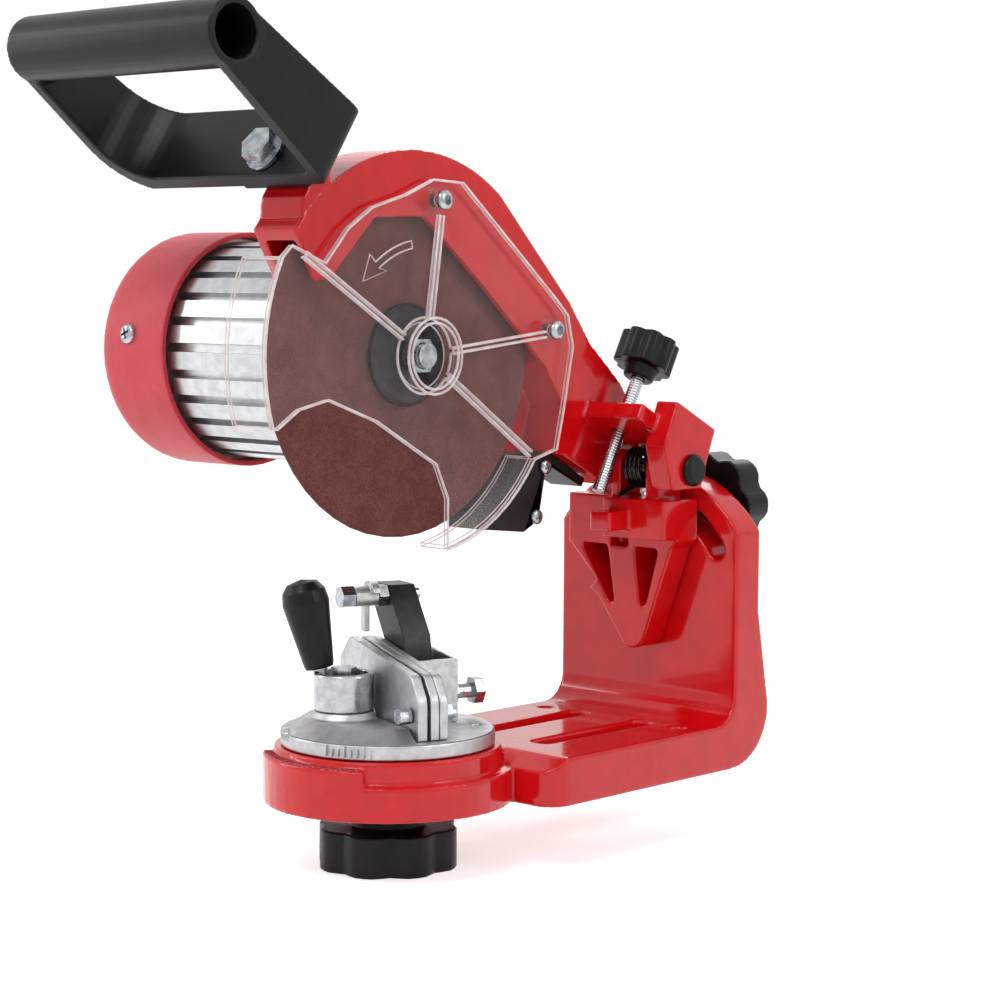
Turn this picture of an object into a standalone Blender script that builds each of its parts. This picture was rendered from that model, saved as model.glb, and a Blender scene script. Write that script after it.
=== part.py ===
"""Electric bench sharpener for saw chains, built at its real size.

Metres, +Z up, +X to the operator's right, +Y away from the operator.
The origin is on the vise's turning axis, in the plane of the base's underside.
The grinding wheel lies in the plane X = 0, with its arm raised.
"""
import math

import bmesh
import bpy
from mathutils import Matrix, Vector

for old in list(bpy.data.objects):
    bpy.data.objects.remove(old, do_unlink=True)

# Fits and round counts shared by every piece
GAP = 0.0003
OVERRUN = 0.003
FINE_STEPS = 48
ROUND_STEPS = 32
SMALL_STEPS = 16
TINY_STEPS = 10
SMOOTH_ANGLE = math.radians(32)

# Base casting
PLATE_LEFT = -0.0347
PLATE_RIGHT = 0.0633
PLATE_TOP = 0.0193
PLATE_FRONT = 0.028
PLATE_RAMP_END = 0.038
PLATE_WALL = 0.005
PLATE_SKIN = 0.005
PLATE_CORNER_RADIUS = 0.010
FLANGE_RADIUS = 0.050
FLANGE_TOP = 0.0135
DRUM_RADIUS = 0.0455
DRUM_TOP = 0.0225
SCALE_TOP = 0.0198
SCALE_START = math.radians(228)
SCALE_END = math.radians(304)
HUB_BOSS_RADIUS = 0.013
UPRIGHT_FRONT = 0.145
UPRIGHT_THICK = 0.016
UPRIGHT_FOOT_THICK = 0.0237
UPRIGHT_TOP = 0.126
UPRIGHT_ARC_RADIUS = 0.060
UPRIGHT_STEP_HEIGHT = 0.066
FOLD_RADIUS = 0.012
HEEL_RADIUS = 0.025
SLOT_WIDTH = 0.0105
SLOT_FRONT = 0.054
SLOT_REAR = 0.124
SLOT_SPACING = 0.0355
BENCH_HOLE_RADIUS = 0.0034
BENCH_HOLE_Y = 0.1205
BENCH_HOLE_SPACING = 0.074
BACK_POCKET_DEPTH = 0.009
BACK_POCKET_WALL = 0.006
BACK_POCKET_LOW = 0.026
BACK_POCKET_HIGH = 0.056
RIB_THICK = 0.0035

# Head tilt pivot and its arc slot
TILT_X = 0.0155
TILT_Z = 0.069
TILT_SLOT_RADIUS = 0.0435
TILT_SLOT_WIDTH = 0.0085
TILT_SLOT_LOW = math.radians(-16)
TILT_SLOT_HIGH = math.radians(57)
TILT_BOLT_ANGLE = math.radians(20.6)
TILT_PIN_RADIUS = 0.0048
TILT_HEAD_RADIUS = 0.0085
TILT_HEAD_THICK = 0.005
TILT_HEAD_ROOM = 0.001

# Vise turntable
VISE_TURN = math.radians(-20)
TABLE_RADIUS = 0.04285
TABLE_THICK = 0.0062
STUD_RADIUS = 0.005
STUD_LOW = -0.0215

# Arm hinge and grinding wheel
HINGE_Y = 0.134
HINGE_Z = 0.127
WHEEL_Y = 0.007
WHEEL_Z = 0.177
WHEEL_RADIUS = 0.0725
WHEEL_THICK = 0.0032
WHEEL_BORE_RADIUS = 0.0111


def polar(centre, radius, angle):
    """A point on a circle in its own plane."""
    return (centre[0] + radius * math.cos(angle), centre[1] + radius * math.sin(angle))


def arc(centre, radius, start, end, steps):
    """Points along a circular arc, both ends included."""
    return [polar(centre, radius, start + (end - start) * i / steps) for i in range(steps + 1)]


def circle(centre, radius, steps):
    """Points round a full circle."""
    return [polar(centre, radius, math.tau * i / steps) for i in range(steps)]


def hexagon(centre, across_flats, turn=0.0):
    """Corners of a hexagon named by its size across flats."""
    radius = across_flats / math.sqrt(3)
    return [polar(centre, radius, turn + math.tau * i / 6) for i in range(6)]


def rectangle(low_a, high_a, low_b, high_b):
    """Corners of an upright rectangle."""
    return [(low_a, low_b), (high_a, low_b), (high_a, high_b), (low_a, high_b)]


def rounded(corners, radii, steps=4):
    """A closed outline whose corners are rounded by arcs of the given radii."""
    outline = []
    count = len(corners)
    for index in range(count):
        here = Vector(corners[index])
        before = (Vector(corners[index - 1]) - here).normalized()
        after = (Vector(corners[(index + 1) % count]) - here).normalized()
        radius = radii[index] if isinstance(radii, (list, tuple)) else radii
        if radius <= 0:
            outline.append(tuple(here))
            continue
        half = before.angle(after) / 2
        centre = here + (before + after).normalized() * radius / math.sin(half)
        first = here + before * radius / math.tan(half) - centre
        sweep = first.angle_signed(here + after * radius / math.tan(half) - centre)
        for step in range(steps + 1):
            turn = Matrix.Rotation(-sweep * step / steps, 2)
            outline.append(tuple(centre + turn @ first))
    return outline


def lobed(centre, radius, dip, lobes, steps):
    """A hand knob's outline, with a shallow hollow between one lobe and the next."""
    outline = []
    for step in range(steps):
        angle = math.tau * step / steps
        reach = radius - dip * ((1 - math.cos(lobes * angle)) / 2) ** 2
        outline.append(polar(centre, reach, angle))
    return outline


def finish_mesh(builder, name):
    """Turn a bmesh into a mesh with outward faces and smooth round sides."""
    bmesh.ops.recalc_face_normals(builder, faces=builder.faces)
    mesh = bpy.data.meshes.new(name)
    builder.to_mesh(mesh)
    builder.free()
    mesh.shade_smooth()
    mesh.set_sharp_from_angle(angle=SMOOTH_ANGLE)
    return mesh


def on_axis(axis, along, point):
    """Place a flat point at a distance along the named axis."""
    if axis == "X":
        return Vector((along, point[0], point[1]))
    if axis == "Y":
        return Vector((point[0], along, point[1]))
    return Vector((point[0], point[1], along))


def prism(outline, axis, low, high, top_outline=None):
    """Extrude an outline along an axis, or loft it to a second outline."""
    builder = bmesh.new()
    far = top_outline or outline
    start = [builder.verts.new(on_axis(axis, low, point)) for point in outline]
    end = [builder.verts.new(on_axis(axis, high, point)) for point in far]
    builder.faces.new(start)
    builder.faces.new(end)
    for index in range(len(start)):
        after = (index + 1) % len(start)
        builder.faces.new((start[index], start[after], end[after], end[index]))
    return finish_mesh(builder, "prism")


def turned(profile, axis, centre, steps, closed=False):
    """Turn a profile of (radius, along) points about an axis through a centre."""
    builder = bmesh.new()
    rings = []
    for radius, along in profile:
        if radius == 0:
            point = on_axis(axis, along, (0, 0)) + Vector(centre)
            rings.append([builder.verts.new(point)])
            continue
        ring = []
        for step in range(steps):
            flat = polar((0, 0), radius, math.tau * step / steps)
            ring.append(builder.verts.new(on_axis(axis, along, flat) + Vector(centre)))
        rings.append(ring)
    pairs = list(zip(rings, rings[1:]))
    if closed:
        pairs.append((rings[-1], rings[0]))
    for lower, upper in pairs:
        for step in range(steps):
            after = (step + 1) % steps
            corners = []
            for vert in (lower[step % len(lower)], lower[after % len(lower)],
                         upper[after % len(upper)], upper[step % len(upper)]):
                if vert not in corners:
                    corners.append(vert)
            if len(corners) > 2:
                builder.faces.new(corners)
    return finish_mesh(builder, "turned")


def block(low, high):
    """A box between two corners."""
    return prism(rectangle(low[0], high[0], low[1], high[1]), "Z", low[2], high[2])


def aimed(mesh, start, direction):
    """Move a mesh built along +Z so that it starts at a point and runs along a direction."""
    turn = Vector((0, 0, 1)).rotation_difference(Vector(direction)).to_matrix().to_4x4()
    mesh.transform(Matrix.Translation(Vector(start)) @ turn)
    return mesh


def swung(mesh, centre, angle):
    """Turn a mesh about an X-wise axis through a centre."""
    here = Matrix.Translation(Vector(centre))
    mesh.transform(here @ Matrix.Rotation(angle, 4, "X") @ here.inverted())
    return mesh


def finish(name, colour, roughness, metallic):
    """A plain material with a photographed colour."""
    paint = bpy.data.materials.new(name)
    paint.use_nodes = True
    shader = paint.node_tree.nodes["Principled BSDF"]
    shader.inputs["Base Color"].default_value = (*colour, 1.0)
    shader.inputs["Roughness"].default_value = roughness
    shader.inputs["Metallic"].default_value = metallic
    return paint


RED_PAINT = finish("red_paint", (0.60, 0.012, 0.016), 0.25, 0.0)
PINK_RED_PLASTIC = finish("pink_red_plastic", (0.62, 0.06, 0.09), 0.45, 0.0)
BLACK_PLASTIC = finish("black_plastic", (0.018, 0.018, 0.020), 0.42, 0.0)
CLEAR_PLASTIC = finish("clear_plastic", (0.85, 0.88, 0.90), 0.05, 0.0)
ALUMINIUM = finish("cast_aluminium", (0.62, 0.64, 0.66), 0.35, 1.0)
ZINC_STEEL = finish("zinc_steel", (0.66, 0.67, 0.68), 0.25, 1.0)
BLACK_STEEL = finish("black_steel", (0.030, 0.030, 0.032), 0.40, 0.8)
BROWN_ABRASIVE = finish("brown_abrasive", (0.115, 0.040, 0.030), 0.90, 0.0)


class Joint:
    """An empty on a joint's axis, which carries the pieces of one moving body."""

    def __init__(self, name, place, carrier=None, turn=0.0):
        self.place = Vector(place)
        self.empty = bpy.data.objects.new(name, None)
        bpy.context.collection.objects.link(self.empty)
        self.empty.location = self.place
        self.empty.rotation_euler[2] = turn
        if carrier is not None:
            self.empty.parent = carrier.empty
            self.empty.location = self.place - carrier.place


CARRIED_BY = {}


def piece(name, mesh, paint, joint):
    """One named solid on its joint, from a mesh in the frame of the joint's carrier."""
    mesh.transform(Matrix.Translation(-joint.place))
    mesh.materials.append(paint)
    mesh.name = name
    solid = bpy.data.objects.new(name, mesh)
    bpy.context.collection.objects.link(solid)
    solid.parent = joint.empty
    CARRIED_BY[name] = joint
    return solid


def shape(solid, mesh, operation):
    """Add, cut or keep a shape with a Boolean, whose operand is a hidden guide."""
    joint = CARRIED_BY[solid.name]
    mesh.transform(Matrix.Translation(-joint.place))
    guide = bpy.data.objects.new(solid.name + "_guide", mesh)
    bpy.context.collection.objects.link(guide)
    guide.parent = solid
    guide.hide_render = True
    guide.display_type = "WIRE"
    modifier = solid.modifiers.new(operation.lower(), "BOOLEAN")
    modifier.operation = operation
    modifier.solver = "EXACT"
    modifier.object = guide


def add(solid, mesh):
    shape(solid, mesh, "UNION")


def cut(solid, mesh):
    shape(solid, mesh, "DIFFERENCE")


def keep(solid, mesh):
    shape(solid, mesh, "INTERSECT")


BASE = Joint("base_origin", (0, 0, 0))
VISE = Joint("vise_axis", (0, 0, 0), BASE, VISE_TURN)
TILT = Joint("tilt_axis", (TILT_X, UPRIGHT_FRONT, TILT_Z), BASE)
ARM = Joint("arm_axis", (0, HINGE_Y, HINGE_Z), TILT)
ROTOR = Joint("rotor_axis", (0, WHEEL_Y, WHEEL_Z), ARM)

# The red base: a plate, a round vise seat and an upright in one casting
plate_middle = (PLATE_LEFT + PLATE_RIGHT) / 2
upright_rear = UPRIGHT_FRONT + UPRIGHT_THICK
foot_rear = UPRIGHT_FRONT + UPRIGHT_FOOT_THICK
side_profile = [
    (PLATE_FRONT, 0),
    (PLATE_FRONT, FLANGE_TOP),
    (PLATE_RAMP_END, PLATE_TOP),
    *arc((UPRIGHT_FRONT - FOLD_RADIUS, PLATE_TOP + FOLD_RADIUS), FOLD_RADIUS, -math.pi / 2, 0, 8),
    (UPRIGHT_FRONT, UPRIGHT_TOP + OVERRUN),
    (upright_rear, UPRIGHT_TOP + OVERRUN),
    (upright_rear, UPRIGHT_STEP_HEIGHT),
    *arc((foot_rear - HEEL_RADIUS, HEEL_RADIUS), HEEL_RADIUS, 0, -math.pi / 2, 10),
]
base_frame = piece(
    "base_frame",
    prism(side_profile, "X", PLATE_LEFT - OVERRUN, PLATE_RIGHT + OVERRUN),
    RED_PAINT, BASE)

arc_centre = (plate_middle, UPRIGHT_TOP - UPRIGHT_ARC_RADIUS)
arc_reach = (PLATE_RIGHT - PLATE_LEFT) / 2 + OVERRUN
arc_corner = math.acos(arc_reach / UPRIGHT_ARC_RADIUS)
front_outline = [
    (plate_middle - arc_reach, -OVERRUN),
    (plate_middle + arc_reach, -OVERRUN),
    *arc(arc_centre, UPRIGHT_ARC_RADIUS, arc_corner, math.pi - arc_corner, 28),
]
keep(base_frame, prism(front_outline, "Y", PLATE_FRONT - OVERRUN, foot_rear + OVERRUN))

plan_corners = rectangle(PLATE_LEFT, PLATE_RIGHT, PLATE_FRONT, foot_rear + OVERRUN)
plan_outline = rounded(plan_corners, [0, PLATE_CORNER_RADIUS, 0, 0], 6)
keep(base_frame, prism(plan_outline, "Z", -OVERRUN, UPRIGHT_TOP + OVERRUN))

seat_profile = [
    (0, 0),
    (FLANGE_RADIUS, 0),
    (FLANGE_RADIUS, FLANGE_TOP),
    (DRUM_RADIUS, FLANGE_TOP),
    (DRUM_RADIUS, DRUM_TOP),
    (0, DRUM_TOP),
]
add(base_frame, turned(seat_profile, "Z", (0, 0, 0), FINE_STEPS))

scale_sink = DRUM_RADIUS - OVERRUN
scale_outline = (arc((0, 0), FLANGE_RADIUS, SCALE_START, SCALE_END, 14)
                 + arc((0, 0), scale_sink, SCALE_END, SCALE_START, 14))
add(base_frame, prism(scale_outline, "Z", FLANGE_TOP - OVERRUN, SCALE_TOP))

# Hollow underside, with bosses and ribs left standing
seat_skin = PLATE_SKIN + GAP
seat_pocket = [
    (HUB_BOSS_RADIUS, -OVERRUN),
    (DRUM_RADIUS - PLATE_WALL, -OVERRUN),
    (DRUM_RADIUS - PLATE_WALL, DRUM_TOP - seat_skin),
    (HUB_BOSS_RADIUS, DRUM_TOP - seat_skin),
]
cut(base_frame, turned(seat_pocket, "Z", (0, 0, 0), ROUND_STEPS, closed=True))
pocket_edges = [PLATE_LEFT + PLATE_WALL, plate_middle, PLATE_RIGHT - PLATE_WALL]
for pocket_low, pocket_high in zip(pocket_edges, pocket_edges[1:]):
    inset_low = RIB_THICK / 2 if pocket_low == plate_middle else 0
    inset_high = RIB_THICK / 2 if pocket_high == plate_middle else 0
    pocket_plan = rectangle(pocket_low + inset_low, pocket_high - inset_high,
                            DRUM_RADIUS + PLATE_WALL, UPRIGHT_FRONT - FOLD_RADIUS)
    cut(base_frame, prism(rounded(pocket_plan, PLATE_WALL), "Z", -OVERRUN, PLATE_TOP - PLATE_SKIN))

for side in (-1, 1):
    slot_middle = plate_middle + side * SLOT_SPACING / 2
    slot_plan = rectangle(slot_middle - SLOT_WIDTH / 2, slot_middle + SLOT_WIDTH / 2,
                          SLOT_FRONT, SLOT_REAR)
    cut(base_frame, prism(rounded(slot_plan, SLOT_WIDTH / 3), "Z", -OVERRUN, PLATE_TOP + OVERRUN))
    hole_middle = (plate_middle + side * BENCH_HOLE_SPACING / 2, BENCH_HOLE_Y)
    cut(base_frame, prism(circle(hole_middle, BENCH_HOLE_RADIUS, SMALL_STEPS),
                          "Z", -OVERRUN, PLATE_TOP + OVERRUN))

# Ribbed pockets in the back of the upright
back_width = PLATE_RIGHT - PLATE_LEFT - 2 * BACK_POCKET_WALL
back_edges = [PLATE_LEFT + BACK_POCKET_WALL + back_width * i / 3 for i in range(4)]
for pocket_low, pocket_high in zip(back_edges, back_edges[1:]):
    pocket_front = rectangle(pocket_low + RIB_THICK / 2, pocket_high - RIB_THICK / 2,
                             BACK_POCKET_LOW, BACK_POCKET_HIGH)
    cut(base_frame, prism(rounded(pocket_front, RIB_THICK), "Y",
                          upright_rear - BACK_POCKET_DEPTH, foot_rear + OVERRUN))

# Holes for the tilt pin and the tilt clamp, and for the vise stud
tilt_centre = (TILT_X, TILT_Z)
half_slot = TILT_SLOT_WIDTH / 2
slot_start = math.pi / 2 - TILT_SLOT_HIGH
slot_end = math.pi / 2 - TILT_SLOT_LOW
tilt_slot = (
    arc(tilt_centre, TILT_SLOT_RADIUS + half_slot, slot_start, slot_end, 16)
    + arc(polar(tilt_centre, TILT_SLOT_RADIUS, slot_end), half_slot, slot_end, slot_end + math.pi, 6)[1:-1]
    + arc(tilt_centre, TILT_SLOT_RADIUS - half_slot, slot_end, slot_start, 16)
    + arc(polar(tilt_centre, TILT_SLOT_RADIUS, slot_start), half_slot, slot_start + math.pi,
          slot_start + math.tau, 6)[1:-1]
)
cut(base_frame, prism(tilt_slot, "Y", UPRIGHT_FRONT - OVERRUN, foot_rear + OVERRUN))
cut(base_frame, prism(circle(tilt_centre, TILT_PIN_RADIUS + GAP, SMALL_STEPS),
                      "Y", UPRIGHT_FRONT - OVERRUN, foot_rear + OVERRUN))
cut(base_frame, prism(circle(tilt_centre, TILT_HEAD_RADIUS + TILT_HEAD_ROOM, SMALL_STEPS),
                      "Y", upright_rear, foot_rear + OVERRUN))
cut(base_frame, prism(circle((0, 0), STUD_RADIUS + GAP, SMALL_STEPS),
                      "Z", -OVERRUN, DRUM_TOP + OVERRUN))

# Vise turntable, in the vise's own frame: +X along the chain, +Y away from the clamp
TABLE_BASE = DRUM_TOP + GAP
TABLE_TOP = TABLE_BASE + TABLE_THICK
TABLE_RIM = 0.0014
STUD_SEAT = 0.004
CAM_X = -0.004
CAM_Y = -0.0175
CAM_RADIUS = 0.012
PLATFORM_TOP = TABLE_TOP + 0.0046
PLATFORM_FOOT_RADIUS = 0.0412
PLATFORM_HEAD_RADIUS = 0.0330
PLATFORM_BACK = -0.0062
CAM_FOOT_RADIUS = 0.0158
CAM_FOOT_TOP = PLATFORM_TOP + 0.0028
CAM_PIN_RADIUS = 0.0035
VISE_SCREW_HOLE_RADIUS = 0.0024
VISE_SCREW_HOLE_X = 0.0120
VISE_SCREW_HOLE_Y = 0.0335

table_profile = [
    (0, TABLE_BASE),
    (TABLE_RADIUS, TABLE_BASE),
    (TABLE_RADIUS, TABLE_TOP - TABLE_RIM / 2),
    (TABLE_RADIUS - TABLE_RIM / 2, TABLE_TOP),
    (0, TABLE_TOP),
]
turntable = piece("turntable", turned(table_profile, "Z", (0, 0, 0), FINE_STEPS), ALUMINIUM, VISE)


def platform_outline(radius):
    """The front part of a disc, cut straight along the jaws."""
    corner = math.asin(PLATFORM_BACK / radius)
    return arc((0, 0), radius, math.pi - corner, math.tau + corner, 24)


add(turntable, prism(platform_outline(PLATFORM_FOOT_RADIUS), "Z", TABLE_TOP - GAP, PLATFORM_TOP,
                     platform_outline(PLATFORM_HEAD_RADIUS)))
JAW_FACE = -0.0048


def foot_outline(radius):
    """A circle round the cam, flattened where the moving jaw passes."""
    return [(x, min(y, JAW_FACE - GAP)) for x, y in circle((CAM_X, CAM_Y), radius, ROUND_STEPS)]


add(turntable, prism(foot_outline(CAM_FOOT_RADIUS), "Z", TABLE_TOP - GAP, CAM_FOOT_TOP,
                     foot_outline(CAM_RADIUS)))
cut(turntable, prism(circle((CAM_X, CAM_Y), CAM_PIN_RADIUS + GAP, SMALL_STEPS),
                     "Z", TABLE_TOP, CAM_FOOT_TOP + OVERRUN))
cut(turntable, prism(circle((0, 0), STUD_RADIUS + GAP, SMALL_STEPS),
                     "Z", TABLE_BASE - OVERRUN, TABLE_BASE + STUD_SEAT))
cut(turntable, prism(circle((VISE_SCREW_HOLE_X, VISE_SCREW_HOLE_Y), VISE_SCREW_HOLE_RADIUS, TINY_STEPS),
                     "Z", TABLE_TOP - TABLE_THICK / 2, TABLE_TOP + OVERRUN))

# Sighting notch in the rim, above the angle scale
NOTCH_MIDDLE = math.radians(270)
NOTCH_HALF = math.radians(22)
NOTCH_DEPTH = 0.0035
NOTCH_HEIGHT = 0.0028
notch = (arc((0, 0), TABLE_RADIUS - NOTCH_DEPTH, NOTCH_MIDDLE - NOTCH_HALF, NOTCH_MIDDLE, 6)
         + arc((0, 0), TABLE_RADIUS + OVERRUN, NOTCH_MIDDLE, NOTCH_MIDDLE - NOTCH_HALF, 6))
cut(turntable, prism(notch, "Z", TABLE_TOP - NOTCH_HEIGHT, PLATFORM_TOP + OVERRUN))

stud = [
    (0, STUD_LOW),
    (STUD_RADIUS, STUD_LOW),
    (STUD_RADIUS, TABLE_BASE + STUD_SEAT - GAP),
    (0, TABLE_BASE + STUD_SEAT - GAP),
]
piece("vise_stud", turned(stud, "Z", (0, 0, 0), SMALL_STEPS), ZINC_STEEL, VISE)

# Jaw plates, which hold the chain on edge between them
JAW_LEFT = -0.036
JAW_RIGHT = 0.038
JAW_CREST = 0.0622
JAW_END_TOP = 0.0450
JAW_END_ROUND = 0.009
JAW_SLOT = 0.0014
JAW_TRAVEL = 0.0006
PLATE_TWO_THICK = 0.0036
PLATE_THREE_THICK = 0.0036
JAW_BOLT_X = 0.031
JAW_BOLT_Z = 0.0385
JAW_BOLT_RADIUS = 0.0022
JAW_BOLT_HEAD_RADIUS = 0.0033
JAW_BOLT_HEAD = 0.0050
JAW_NUT_FLATS = 0.0075
JAW_NUT_THICK = 0.0036
jaw_foot = TABLE_TOP + GAP


def jaw_plate(name, low, high, drop, joint):
    """A plate with a falling top edge and a rounded end, drilled for the two jaw bolts."""
    corners = [
        (JAW_LEFT, jaw_foot),
        (JAW_RIGHT, jaw_foot),
        (JAW_RIGHT, JAW_END_TOP - drop),
        (JAW_BOLT_X, JAW_END_TOP + JAW_END_ROUND - drop),
        (JAW_LEFT + JAW_END_ROUND, JAW_CREST - drop),
        (JAW_LEFT, JAW_CREST - JAW_END_ROUND - drop),
    ]
    radii = [0, 0, JAW_END_ROUND, JAW_END_ROUND / 2, JAW_END_ROUND / 3, JAW_END_ROUND / 3]
    plate = piece(name, prism(rounded(corners, radii, 5), "Y", low, high), ALUMINIUM, joint)
    for side in (-1, 1):
        hole = circle((side * JAW_BOLT_X, JAW_BOLT_Z), JAW_BOLT_RADIUS + GAP, TINY_STEPS)
        cut(plate, prism(hole, "Y", low - OVERRUN, high + OVERRUN))
    return plate


plate_two_front = JAW_SLOT / 2
plate_three_front = plate_two_front + PLATE_TWO_THICK + GAP
plate_three_back = plate_three_front + PLATE_THREE_THICK
MOVING_JAW = Joint("moving_jaw_slide", (0, 0, TABLE_TOP), VISE)
jaw_plate("fixed_jaw", plate_two_front, plate_two_front + PLATE_TWO_THICK, 0, VISE)
jaw_plate("backing_jaw", plate_three_front, plate_three_back, GAP, VISE)
jaw_plate("moving_jaw", JAW_FACE, -JAW_SLOT / 2, 0, MOVING_JAW)


def along_y(mesh_profile, centre_x, centre_z, steps):
    """A turned shape whose axis runs along Y."""
    return turned(mesh_profile, "Y", (centre_x, 0, centre_z), steps)


for side, mark in ((-1, "left"), (1, "right")):
    head_back = JAW_FACE - GAP - JAW_TRAVEL / 2
    nut_front = plate_three_back + GAP
    bolt_profile = [
        (0, head_back - JAW_BOLT_HEAD),
        (JAW_BOLT_HEAD_RADIUS, head_back - JAW_BOLT_HEAD),
        (JAW_BOLT_HEAD_RADIUS, head_back),
        (JAW_BOLT_RADIUS, head_back),
        (JAW_BOLT_RADIUS, nut_front + JAW_NUT_THICK + JAW_BOLT_RADIUS),
        (0, nut_front + JAW_NUT_THICK + JAW_BOLT_RADIUS),
    ]
    piece("jaw_bolt_" + mark, along_y(bolt_profile, side * JAW_BOLT_X, JAW_BOLT_Z, TINY_STEPS),
          ZINC_STEEL, VISE)
    bolt_centre = (side * JAW_BOLT_X, JAW_BOLT_Z)
    nut = piece("jaw_nut_" + mark,
                prism(hexagon(bolt_centre, JAW_NUT_FLATS), "Y", nut_front, nut_front + JAW_NUT_THICK),
                ZINC_STEEL, VISE)
    cut(nut, prism(circle(bolt_centre, JAW_BOLT_RADIUS + GAP, TINY_STEPS),
                   "Y", nut_front - OVERRUN, nut_front + JAW_NUT_THICK + OVERRUN))

# Sheet bracket behind the jaws, open towards them, with its set screw
BRACKET_RIGHT = 0.0034
BRACKET_LEFT = -0.0265
BRACKET_BACK = 0.0295
BRACKET_SHEET = 0.0015
BRACKET_TOP_RIGHT = 0.0545
BRACKET_TOP_LEFT = 0.0575
SET_SCREW_X = -0.005
SET_SCREW_Z = 0.040
SET_SCREW_RADIUS = 0.0030
SET_SCREW_HEAD_FLATS = 0.0100
SET_SCREW_HEAD_THICK = 0.0042
SET_SCREW_REACH = 0.0100
bracket_front = plate_three_back + GAP
bracket_plan = [
    (BRACKET_RIGHT, bracket_front),
    (BRACKET_RIGHT, BRACKET_BACK),
    (BRACKET_LEFT, BRACKET_BACK),
    (BRACKET_LEFT, bracket_front + BRACKET_SHEET),
    (BRACKET_LEFT + BRACKET_SHEET, bracket_front + BRACKET_SHEET),
    (BRACKET_LEFT + BRACKET_SHEET, BRACKET_BACK - BRACKET_SHEET),
    (BRACKET_RIGHT - BRACKET_SHEET, BRACKET_BACK - BRACKET_SHEET),
    (BRACKET_RIGHT - BRACKET_SHEET, bracket_front),
]
stop_bracket = piece("stop_bracket", prism(bracket_plan, "Z", jaw_foot, BRACKET_TOP_LEFT), ZINC_STEEL, VISE)
bracket_trim = [
    (BRACKET_LEFT - OVERRUN, BRACKET_TOP_LEFT),
    (BRACKET_RIGHT + OVERRUN, BRACKET_TOP_RIGHT),
    (BRACKET_RIGHT + OVERRUN, BRACKET_TOP_LEFT + OVERRUN),
    (BRACKET_LEFT - OVERRUN, BRACKET_TOP_LEFT + OVERRUN),
]
cut(stop_bracket, prism(bracket_trim, "Y", bracket_front - OVERRUN, BRACKET_BACK + OVERRUN))
cut(stop_bracket, prism(circle((SET_SCREW_X, SET_SCREW_Z), SET_SCREW_RADIUS + GAP, TINY_STEPS),
                        "Y", BRACKET_BACK - BRACKET_SHEET - OVERRUN, BRACKET_BACK + OVERRUN))

# Chain stop: a leaning block that slides in the bracket, its pawl and the pawl's bolt
STOP_FRONT = 0.0090
STOP_BACK = 0.0212
STOP_TOP = 0.0830
STOP_FOOT_LEFT = -0.0222
STOP_FOOT_RIGHT = -0.0032
STOP_KNEE_RIGHT = 0.0560
STOP_SHOULDER_RIGHT = 0.0638
STOP_SHOULDER_X = -0.0050
STOP_KNEE_LEFT = 0.0590
STOP_HEAD_LEFT = -0.0340
STOP_HEAD_RIGHT = -0.0205
STOP_HEAD_LOW = 0.0745
STOP_BOLT_X = -0.0220
STOP_BOLT_Z = 0.0788
STOP_BOLT_RADIUS = 0.0024
STOP_HEAD_FLATS = 0.0082
STOP_HEAD_THICK = 0.0056
STOP_NUT_THICK = 0.0040
PAWL_HUB_RADIUS = 0.0042
PAWL_HALF_WIDTH = 0.0050
PAWL_FINGER_HALF = 0.0022
PAWL_FINGER_THICK = 0.0010
PAWL_TIP_Z = 0.0645
PAWL_HORN_RADIUS = 0.0062
PAWL_HORN_WIDE = 0.0034
STOP_LEAN = math.radians(15)
STOP = Joint("chain_stop_slide", (STOP_BOLT_X, STOP_BACK, SET_SCREW_Z), VISE)
PAWL = Joint("pawl_axis", (STOP_BOLT_X, 0, STOP_BOLT_Z), STOP)
stop_outline = [
    (STOP_FOOT_LEFT, jaw_foot),
    (STOP_FOOT_RIGHT, jaw_foot),
    (STOP_FOOT_RIGHT, STOP_KNEE_RIGHT),
    (STOP_SHOULDER_X, STOP_SHOULDER_RIGHT),
    (STOP_HEAD_RIGHT, STOP_TOP),
    (STOP_HEAD_LEFT, STOP_TOP),
    (STOP_HEAD_LEFT, STOP_HEAD_LOW),
    (STOP_FOOT_LEFT, STOP_KNEE_LEFT),
]
stop_block = piece("stop_block", prism(stop_outline, "Y", STOP_FRONT, STOP_BACK), BLACK_PLASTIC, STOP)
stop_bolt_centre = (STOP_BOLT_X, STOP_BOLT_Z)
stop_bore = circle(stop_bolt_centre, STOP_BOLT_RADIUS + GAP, TINY_STEPS)
cut(stop_block, prism(stop_bore, "Y", STOP_FRONT - OVERRUN, STOP_BACK + OVERRUN))

nut_back = STOP_FRONT - GAP
nut_front = nut_back - STOP_NUT_THICK
pawl_back = nut_front - GAP
pawl_front = pawl_back - 2 * PAWL_HALF_WIDTH
head_back = pawl_front - GAP
stop_bolt = piece(
    "stop_bolt",
    prism(hexagon(stop_bolt_centre, STOP_HEAD_FLATS, STOP_LEAN), "Y", head_back - STOP_HEAD_THICK, head_back),
    ZINC_STEEL, STOP)
add(stop_bolt, prism(circle(stop_bolt_centre, STOP_BOLT_RADIUS, TINY_STEPS),
                     "Y", head_back - STOP_HEAD_THICK / 2, STOP_BACK + STOP_BOLT_RADIUS))
stop_nut = piece("stop_nut", prism(hexagon(stop_bolt_centre, STOP_HEAD_FLATS), "Y", nut_front, nut_back),
                 ZINC_STEEL, STOP)
cut(stop_nut, prism(stop_bore, "Y", nut_front - OVERRUN, nut_back + OVERRUN))

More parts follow.
